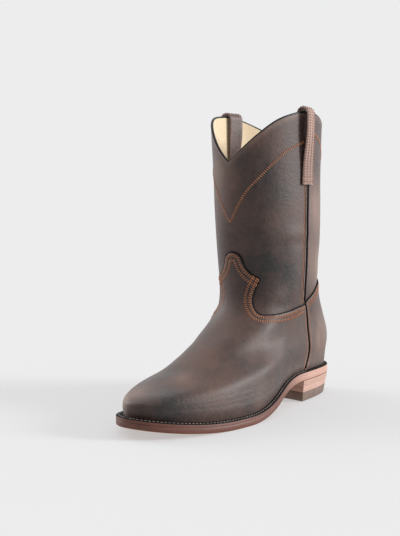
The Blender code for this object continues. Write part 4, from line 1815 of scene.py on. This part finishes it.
        piece = sheet_of("pull_loop_" + self.label, ring, last, place)
        close_seams(piece, caps=True, turn_out=True)
        soften(piece, 60)
        points = coordinates(piece)
        rims = np.concatenate([middle + across * half[:, None], middle - across * half[:, None]])
        # Painted light and shade: the outer leg is painted warm and pale where the light falls on it, the inner
        # leg by the shaft is painted cool as shade, and the rims are pale, most on the lit outer leg
        outside = smooth((points @ self.out - self.top @ self.out + 0.002) / 0.004)
        mark(piece, "warm", -0.15 + 0.37 * outside)
        mark(
            piece, "edge",
            np.maximum(nearness(points, rims, 0.0035) * (0.25 + 0.75 * outside), outside * 0.75)
        )
        give(piece, leather)
        dress(piece, "pull_strap_" + self.label)
        copies = []
        heading = unit(np.gradient(middle, axis=0))
        run = np.r_[0, np.cumsum(np.linalg.norm(np.diff(middle, axis=0), axis=1))]
        at = np.arange(0.002, run[-1] * 0.58, 0.0026)
        for wide in (-0.86, -0.34, 0.34, 0.86):
            line = middle + across * (half * wide)[:, None] + square * (self.thickness / 2)
            parts = [
                np.column_stack(
                    [np.interp(at, run, rows[:, axis]) for axis in range(3)]
                ) for rows in (line, heading, square)
            ]
            copies += Stitch(0.0020).sew("stitch", *(parts[0], unit(parts[1]), unit(parts[2])))
        for row in (2, 5):
            shares = np.linspace(-0.8, 0.8, 7)[:, None]
            places = middle[row] + across[row] * half[row] * shares + square[row] * self.thickness / 2
            copies += Stitch(0.0020).sew(
                "stitch", places, np.repeat(across[row : row + 1], 7, 0),
                np.repeat(square[row : row + 1], 7, 0)
            )
        joined("pull_loop_stitching_" + self.label, copies, thread)


@dataclass
class Sole:
    """Leather outsole and welt with one trimmed edge, the welt wheeled and stitched."""

    last: Last
    around: int = 540
    stitch_in: float = 0.0024
    channel_in: float = 0.0060

    def edge_row(self, turn: Array, inset: Array, height: Callable[[Array], Array]) -> Array:
        """Points in from the sole's edge, at a height that follows their place along the boot."""
        plan = self.last.sole_edge(turn, inset)
        return np.column_stack([plan, height(plan[:, 1])])

    def ring_of(
        self, name: str, profile: Sequence[tuple[float, float]], columns: int, flush: bool
    ) -> bpy.types.Object:
        """Shell round the sole from a profile of insets and heights.

        Args:
            name: Name of the piece.
            profile: Inset in metres (or below zero for the middle line), and height over the tread.
            columns: Faces round it.
            flush: Whether the profile closes on itself.

        Returns:
            The shell.
        """
        insets, heights = np.array(profile).T
        last = len(profile) if flush else len(profile) - 1

        def place(u: Array, v: Array) -> Array:
            """Point of the shell.

            Args:
                u: Share across the grid.
                v: Share up the grid.

            Returns:
                Points, one row each.
            """
            row = np.rint(v * last).astype(int) % len(profile)
            turn = u
            full = insets[row]
            plan = self.last.sole_edge(turn, np.clip(full, 0, None))
            edge = self.last.sole_edge(turn)
            spine = np.column_stack([np.full(len(turn), self.last.spine_x), edge[:, 1]])
            plan = np.where((full < 0)[:, None], spine, plan)
            return np.column_stack([plan, self.last.tread_z(plan[:, 1]) + heights[row]])

        piece = sheet_of(name, columns, last, place)
        close_seams(piece, turn_out=True)
        return piece

    def build_outsole(self, edge: bpy.types.Material, bottom: bpy.types.Material) -> None:
        """Make the outsole with its channel underneath.

        Args:
            edge: Material of the trimmed edge.
            bottom: Material of the underside.
        """
        thick = self.last.outsole
        channel = self.channel_in
        profile = [
            (-1.0, thick), (0.0120, thick), (0.0008, thick), (
                0.0002, thick - 0.0002
            ), (0.0, thick - 0.0006),
            (0.0, thick * 0.5), (0.0001, 0.0012), (0.0004, 0.0004), (0.0011, 0.0),
            (channel - 0.0008, 0.0), (
                channel - 0.0005, 0.0009
            ), (channel + 0.0005, 0.0009), (channel + 0.0008, 0.0),
            (0.0120, 0.0), (-1.0, 0.0),
        ]
        piece = self.ring_of("leather_outsole", profile, 360, flush=False)
        give(piece, edge, bottom)
        centres = np.array([face.center for face in piece.data.polygons])
        normals = np.array([face.normal for face in piece.data.polygons])
        under = (normals[:, 2] < -0.6) & (centres[:, 2] < self.last.tread_z(centres[:, 1]) + 0.001)
        piece.data.polygons.foreach_set("material_index", under.astype(np.int32))
        # Painted light: the edge is painted paler towards the heel
        mark(piece, "pale", self.painted_heel_light(coordinates(piece)))
        soften(piece, 40)
        dress(piece, "outsole")

    def build_welt(self, edge: bpy.types.Material, dark: bpy.types.Material) -> None:
        """Make the welt, its upper edge wheeled into small teeth.

        Args:
            edge: Material of the trimmed edge.
            dark: Material of the welt's top.
        """
        low, high = self.last.outsole, self.last.outsole + self.last.welt
        inner = 0.0135
        profile = [
            (0.0, low), (0.0, high - 0.0009), (
                0.0003, high - 0.0003
            ), (0.0009, high), (0.0019, high),
            (self.stitch_in, high - 0.0003), (0.0029, high), (inner, high), (inner, low),
        ]
        piece = self.ring_of("wheeled_welt", profile, self.around, flush=True)
        points = coordinates(piece)
        over = points[:, 2] - self.last.tread_z(points[:, 1])
        toe_side = points[:, 1] < self.last.breast_y()
        tooth = np.cos(self.run_along(points) / 0.0032 * 2 * pi)
        near_edge = (over > high - 0.0005) & toe_side
        points[:, 2] += np.where(near_edge, tooth * 0.00028, 0.0)
        put(piece, points)
        give(piece, edge, dark)
        normals = np.array([face.normal for face in piece.data.polygons])
        centres = np.array([face.center for face in piece.data.polygons])
        tall = centres[:, 2] - self.last.tread_z(centres[:, 1])
        top = (normals[:, 2] > 0.3) | (tall > high - 0.0008)
        piece.data.polygons.foreach_set("material_index", top.astype(np.int32))
        # Painted light: the edge is painted paler towards the heel
        mark(piece, "pale", self.painted_heel_light(coordinates(piece)))
        soften(piece, 50)
        dress(piece, "welt")

    def painted_heel_light(self, points: Array) -> Array:
        """Painted light on the trimmed edge: it is painted paler from the waist to the heel, where the key light
        falls.
        """
        return smooth((points[:, 1] - 0.015) / 0.075)

    @cached_property
    def edge_run(self) -> tuple[Array, Array]:
        """Turns round the sole and the distance along its edge to each.

        Returns:
            Turns, and the distance to each.
        """
        turns = np.linspace(0, 1, 2001)
        line = self.last.sole_edge(turns)
        return turns, np.r_[0, np.cumsum(np.linalg.norm(np.diff(line, axis=0), axis=1))]

    def run_along(self, points: Array) -> Array:
        """Distance along the sole's edge for points near it.

        Args:
            points: Points in metres, one row each.

        Returns:
            One distance for each point.
        """
        turns, run = self.edge_run
        share = np.clip(0.5 - points[:, 1] / self.last.sole_length, 0, 1)
        lateral = turn_of(share)
        turn = np.where(points[:, 0] >= self.last.spine_x, lateral, 1 - lateral)
        return np.interp(turn, turns, run)

    def stitch(self, welt_thread: bpy.types.Material, sole_thread: bpy.types.Material) -> None:
        """Sew the welt from waist to waist round the toe, and the channel underneath.

        Args:
            welt_thread: Material of the welt's thread.
            sole_thread: Material of the sole's thread.
        """
        turns, run = self.edge_run
        breast = float(turn_of(np.array(self.last.heel_length / self.last.sole_length)))
        start, end = np.interp([breast, 1 - breast], turns, run)
        places = np.interp(np.arange(start - 0.006, end + 0.006, 0.0036), run, turns)
        for name, inset, height, up, thread in (
            (
                "welt_stitching", self.stitch_in, self.last.outsole + self.last.welt - 0.0001, 1.0,
                welt_thread
            ),
            ("sole_stitching", self.channel_in, 0.0006, -1.0, sole_thread),
        ):
            here = places if up > 0 else places[2:-2]
            line = self.edge_row(
                here, np.full(len(here), inset), lambda y: self.last.tread_z(y) + height
            )
            headings = unit(np.gradient(line, axis=0))
            side = unit(np.cross(headings, (0, 0, 1)))
            normals = unit(np.cross(side, headings)) * up
            joined(
                name, Stitch(0.0027, 0.0010, 0.0006).sew("stitch", line, headings, normals), thread
            )


@dataclass
class Heel:
    """Stacked leather heel over a rubber top lift with five nails."""

    last: Last
    cap: float = 0.0092
    taper_back: float = 0.0055
    taper_side: float = 0.0020
    breast_bow: float = 0.0030
    nails: tuple[tuple[float, float], ...] = (
        (0.0, 0.010), (0.019, 0.022), (-0.019, 0.022), (0.015, 0.052), (-0.015, 0.052)
    )

    def ring(self, z: float, inset: float = 0.0) -> Array:
        """Outline of the heel at a height: round the back, straight sides, bowed breast.

        Args:
            z: Height over the floor.
            inset: Distance inwards.

        Returns:
            Points, one row each.
        """
        last = self.last
        down = 1 - z / last.heel_height
        breast = float(turn_of(np.array(last.heel_length / last.sole_length)))
        turns = np.linspace(-breast, breast, 113)
        backness = np.cos(pi / 2 * turns / breast) ** 2
        taper = self.taper_side + (self.taper_back - self.taper_side) * backness
        outline = last.sole_edge(turns, taper * down + inset)
        front = max(last.breast_y(), outline[:, 1].min()) + inset
        kept = outline[outline[:, 1] >= front]
        share = np.linspace(0, 1, 113)
        run = np.linspace(0, 1, len(kept))
        outline = np.column_stack([np.interp(share, run, kept[:, axis]) for axis in range(2)])
        outline[[0, -1], 1] = front
        across = np.linspace(0, 1, 33)[1:-1]
        lateral, medial = outline[-1], outline[0]
        line = lateral + (medial - lateral) * across[:, None]
        line[:, 1] += self.breast_bow * 4 * across * (1 - across)
        return np.column_stack([np.concatenate([outline, line]), np.full(113 + 31, z)])

    def block(self, name: str, levels: Sequence[tuple[float, float]]) -> bpy.types.Object:
        """Closed block from outlines at heights, each moved inwards a little.

        Args:
            name: Name of the piece.
            levels: Height and distance inwards of each outline.

        Returns:
            The block.
        """
        rings = np.array([self.ring(z, inset) for z, inset in levels])
        count = rings.shape[1]

        def place(u: Array, v: Array) -> Array:
            """Point of the block's side."""
            column = np.rint(u * count).astype(int) % count
            return rings[np.rint(v * (len(rings) - 1)).astype(int), column]

        piece = sheet_of(name, count, len(rings) - 1, place)
        close_seams(piece, caps=True, turn_out=True)
        soften(piece, 35)
        return piece

    def build(
        self, stack: bpy.types.Material, rubber: bpy.types.Material, steel: bpy.types.Material
    ) -> None:
        """Make the lifts, the cap and its nails.

        Args:
            stack: Material of the lifts.
            rubber: Material of the cap.
            steel: Material of the nails.
        """
        low, high = self.cap + self.last.gap, self.last.heel_height - self.last.gap
        joint = low + (high - low) / 2
        levels = [
            (low, 0.0003), (low + 0.0003, 0.0),
            (joint - 0.0003, 0.0), (joint, 0.00015), (joint + 0.0003, 0.0),
            (high - 0.0003, 0.0), (high, 0.0003),
        ]
        lifts = self.block("stacked_heel", levels)
        give(lifts, stack)
        dress(lifts, "heel_stack")
        top = self.cap
        cap = self.block(
            "rubber_top_lift",
            [(0.0003, 0.0007), (0.0005, 0.0003), (0.0010, 0.0), (top - 0.0004, 0.0), (top, 0.0003)]
        )
        give(cap, rubber)
        dress(cap, "heel_cap")
        heads = []
        back = self.last.sole_length / 2
        for x, y in self.nails:
            deselect()
            bpy.ops.mesh.primitive_uv_sphere_add(segments=16, ring_count=8, radius=0.0017)
            head = bpy.context.object
            head.data.transform(
                Matrix.Translation(
                    (x + self.last.spine_x, back - 0.006 - y, 0.0004)
                ) @ Matrix.Diagonal((1, 1, 0.18, 1))
            )
            bpy.ops.object.shade_smooth()
            heads.append(head)
        joined("heel_nails", heads, steel)


@dataclass(frozen=True)
class Sun:
    """Broad lamp: the direction it shines from, its power and its spread in degrees."""

    name: str
    aim: Point
    power: float
    spread: float


@dataclass
class Studio:
    """Pale floor, soft lights and the photograph's view."""

    suns: tuple[Sun, ...] = (
        Sun("right_behind", (0.95, 0.62, 0.40), 3.9, 18.0),
        Sun("left", (-0.95, -0.10, 0.45), 1.5, 35.0),
        Sun("above", (-0.1, 0.1, 1.0), 0.7, 80.0),
    )
    matt: float = 0.24
    front: Point = (0.63, -0.78, 0.0)
    front_sky: float = 0.42
    side_sky: float = 1.0

    eye: Point = (0.5067, -0.6745, 0.1888)
    yaw: float = 39.07
    pitch: float = 3.54
    focal: float = 59.06
    sky: float = 0.846

    def room(self, directions: Array) -> Array:
        """How bright the room's walls are in directions: softer at the front of the boot."""
        facing = np.clip((directions @ np.array(self.front) + 0.3) / 1.1, 0, 1)
        return self.side_sky + (self.front_sky - self.side_sky) * facing

    def lit(self) -> float:
        """Light on the level floor, as the brightness of a white matt surface there.

        Returns:
            Brightness as a share of white.
        """
        turns = (np.arange(360) + 0.5) / 360 * 2 * pi
        rises = (np.arange(90) + 0.5) / 90 * pi / 2
        turn, rise = np.meshgrid(turns, rises)
        directions = np.stack(
            [np.cos(turn) * np.cos(rise), np.sin(turn) * np.cos(rise), np.sin(rise)], -1
        )
        weights = np.sin(rise) * np.cos(rise)
        room = float((self.room(directions) * weights).sum() / weights.sum())
        return room + sum(
            sun.power * sun.aim[2] / float(np.linalg.norm(sun.aim)) for sun in self.suns
        ) / pi

    def walls(self) -> None:
        """Plain pale walls, which light the boot a little less from its front."""
        world = bpy.data.worlds.new("studio")
        bpy.context.scene.world = world
        world.use_nodes = True
        tree = world.node_tree
        back = tree.nodes["Background"]
        place = add_node(tree, "ShaderNodeTexCoord").outputs["Generated"]
        facing = add_node(
            tree, "ShaderNodeVectorMath", {0: place, 1: self.front}, operation="DOT_PRODUCT"
        )
        room = add_node(
            tree, "ShaderNodeMapRange", {
                "Value": facing.outputs["Value"], 1: -0.3, 2: 0.8, 3: self.side_sky,
                4: self.front_sky
            }
        )
        seen = add_node(tree, "ShaderNodeLightPath").outputs["Is Camera Ray"]
        tone = add_node(
            tree, "ShaderNodeMix", {0: seen, 2: room.outputs[0], 3: self.sky}, data_type="FLOAT"
        )
        tree.links.new(tone.outputs[0], back.inputs["Strength"])
        back.inputs["Color"].default_value = (1.0, 1.0, 1.01, 1)

    def floor(self) -> None:
        """Large pale floor that holds the background's tone, with only the boot's soft shadow."""
        deselect()
        bpy.ops.mesh.primitive_circle_add(vertices=96, radius=30.0, fill_type="NGON")
        ground = bpy.context.object
        ground.name = "studio_floor"
        ground.data.transform(Matrix.Translation((0, 0, -0.0001)))
        made, _, shader = blank_material("studio_floor")
        shader.inputs["Base Color"].default_value = (self.matt, self.matt, self.matt, 1)
        shader.inputs["Roughness"].default_value = 1.0
        shader.inputs["Specular IOR Level"].default_value = 0.0
        shader.inputs["Emission Color"].default_value = (1.0, 1.0, 1.01, 1)
        shader.inputs["Emission Strength"].default_value = self.sky - self.matt * self.lit()
        give(ground, made)

    def shine(self, sun: Sun) -> None:
        """Add one broad lamp far away, so the floor is lit evenly.

        Args:
            sun: The lamp.
        """
        data = bpy.data.lights.new(sun.name, "SUN")
        data.energy = sun.power
        data.angle = radians(sun.spread)
        lamp = bpy.data.objects.new(sun.name, data)
        back = unit(np.array(sun.aim, float))
        right = unit(np.cross((0.1, 0.2, 1), back))
        up = np.cross(back, right)
        lamp.matrix_world = Matrix(
            [[right[i], up[i], back[i], 0] for i in range(3)] + [[0, 0, 0, 1]]
        )
        bpy.context.scene.collection.objects.link(lamp)

    def camera(self) -> None:
        """The photograph's view."""
        data = bpy.data.cameras.new("photo_view")
        data.lens = self.focal
        data.sensor_width = 36.0
        data.clip_start = 0.01
        eye = bpy.data.objects.new("photo_view", data)
        yaw, pitch = radians(self.yaw), radians(self.pitch)
        ahead = np.array((-sin(yaw) * cos(pitch), cos(yaw) * cos(pitch), -sin(pitch)))
        right = np.array((cos(yaw), sin(yaw), 0.0))
        up = np.cross(right, ahead)
        eye.matrix_world = Matrix(
            [[right[i], up[i], -ahead[i], self.eye[i]] for i in range(3)] + [[0, 0, 0, 1]]
        )
        bpy.context.scene.collection.objects.link(eye)
        bpy.context.scene.camera = eye

    def build(self) -> None:
        """Set up the studio."""
        scene = bpy.context.scene
        scene.view_settings.view_transform = "Standard"
        self.walls()
        self.floor()
        for sun in self.suns:
            self.shine(sun)
        self.camera()


def main() -> None:
    """Build the boot piece by piece and set it in the studio."""
    logging.basicConfig(level=logging.INFO, format="%(name)s: %(message)s", stream=sys.stdout)
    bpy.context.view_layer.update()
    Studio().build()
    # Oiled pull-up leather, drum dyed and hot waxed: near black where the oil lies, warm brown
    # where it is pulled over the last, rubbed pale at seams and edges; its warm, cool and pale spots
    # also hold painted highlight and painted shade
    leather = OiledLeather("oiled_pull_up_leather", "#1C1818", "#523A31", "#B39486").make()
    # The same leather cut in strips and folded: handled more, so lighter and drier; its marks paint
    # the outer leg lit and the inner leg shaded
    loop_leather = OiledLeather("pull_loop_leather", "#33282A", "#6E5146", "#B8988A").make()
    # Cut edge of leather painted with black edge ink: nearly black and dull
    ink = PlainFinish("inked_cut_edge", "#060505", "#120C0B", 3.0, 0.6, 0.7, specular=0.12).make()
    # Black calf, skived, rolled and glazed: a thin soft highlight runs along it
    trim = PlainFinish(
        "black_calf_trim", "#040405", "#0C0A0B", 5.0, 0.9, 0.36, 0.25, 0.15, 0.22
    ).make()
    # Suede lining, brushed: cream, without gloss, light at grazing angles
    suede = PlainFinish(
        "cream_suede_lining", "#D8C8AE", "#C6B190", 9.0, 0.5, 0.95, 0.5, 0.3, 0.2, 0.3
    ).make()
    # Waxed thread, dyed rust: short light strokes. Rows are drawn at a pitch of 2.2 mm
    # and 2.6 mm, coarser than the estimated 1.8 mm, because finer ones don't show
    thread = PlainFinish("waxed_rust_thread", "#B87850", "#8A5234", 2.0, 0.3, 0.6, 0.3, 0.1).make()
    # The same thread in the loops' own brown: its rows hardly show
    loop_thread = PlainFinish(
        "waxed_brown_thread", "#946C5A", "#785446", 2.0, 0.3, 0.6, 0.3, 0.1
    ).make()
    # Waxed thread, undyed: grey dashes on the dark welt, drawn at 3.6 mm so that they show
    pale_thread = PlainFinish(
        "waxed_natural_thread", "#8A7C74", "#6A5E58", 2.0, 0.3, 0.5, 0.3, 0.1
    ).make()
    # Vegetable-tanned welt leather, dyed black and waxed: matt, it takes little light
    welt = PlainFinish(
        "blackened_welt_leather", "#080606", "#15100E", 4.0, 0.7, 0.7, specular=0.15
    ).make()
    # Sole edge, trimmed, dyed and burnished: red-brown with fine layers along it, painted paler to the heel as
    # painted light
    edge = PlainFinish(
        "trimmed_sole_edge", "#6B4135", "#4F3027", 9.0, 0.5, 0.5, 0.3, 0.15, 0.4, stretch=(1, 1, 6),
        pale="#B0897A"
    ).make()
    # Vegetable-tanned sole leather, rolled and lightly waxed: clouded tan, half matt
    bottom = PlainFinish(
        "natural_sole_leather", "#C68A4E", "#A9703C", 22.0, 0.8, 0.45, 0.2, 0.15
    ).make()
    # Leather lifts, stacked, sanded and burnished: pinkish brown with layers along it
    stack = PlainFinish(
        "stacked_heel_leather", "#B89688", "#A07E70", 14.0, 0.5, 0.5, 0.3, 0.15, 0.4,
        stretch=(1, 1, 8)
    ).make()
    # Moulded rubber, ground at the side: dull grey-brown
    rubber = PlainFinish("heel_rubber", "#7B685F", "#64534B", 6.0, 0.7, 0.7, 0.4, 0.2, 0.35).make()
    # Steel nail heads: small bright discs
    steel = PlainFinish(
        "nail_steel", "#C9C6C0", "#A5A29C", 2.0, 0.4, 0.28, 0.1, 0.05, metal=1.0
    ).make()
    # Insole board, vegetable tanned and left unfinished: light tan, matt
    board = PlainFinish(
        "insole_leather", "#C9A272", "#B48A5A", 18.0, 0.8, 0.7, 0.3, 0.2, 0.3
    ).make()
    last = Last()
    Shaft(last).build(leather, suede)
    log.info("shaft and lining")
    vamp = Overlay(last, "vamp", TONGUE_EDGE, 9, True)
    vamp.build(leather, ink)
    vamp.bead_edge_with_ink_and_painted_shadow(ink)
    vamp.stitch(thread)
    log.info("vamp")
    counter = Overlay(last, "counter", COUNTER_EDGE, 0, False, 120, 76)
    counter.build(leather, ink)
    counter.bead_edge_with_ink_and_painted_shadow(ink)
    counter.stitch(thread)
    log.info("counter")
    for side in Side:
        SideSeam(last, side).build(trim, thread)
        PullStrap(last, side).build(loop_leather, loop_thread)
        log.info("side seam and pull strap, %s", side.name.lower())
    collar = Collar(last)
    collar.bind(trim)
    collar.stitch(thread)
    log.info("collar")
    sole = Sole(last)
    sole.build_outsole(edge, bottom)
    sole.build_welt(edge, welt)
    sole.stitch(pale_thread, thread)
    log.info("sole and welt")
    Heel(last).build(stack, rubber, steel)
    log.info("heel")
    give_node("insole", board)


def give_node(name: str, material: bpy.types.Material) -> None:
    """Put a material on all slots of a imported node.

    Args:
        name: Name of the node.
        material: The material.
    """
    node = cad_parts[name]
    for slot in node.material_slots:
        slot.material = material


if __name__ == "__main__":
    main()
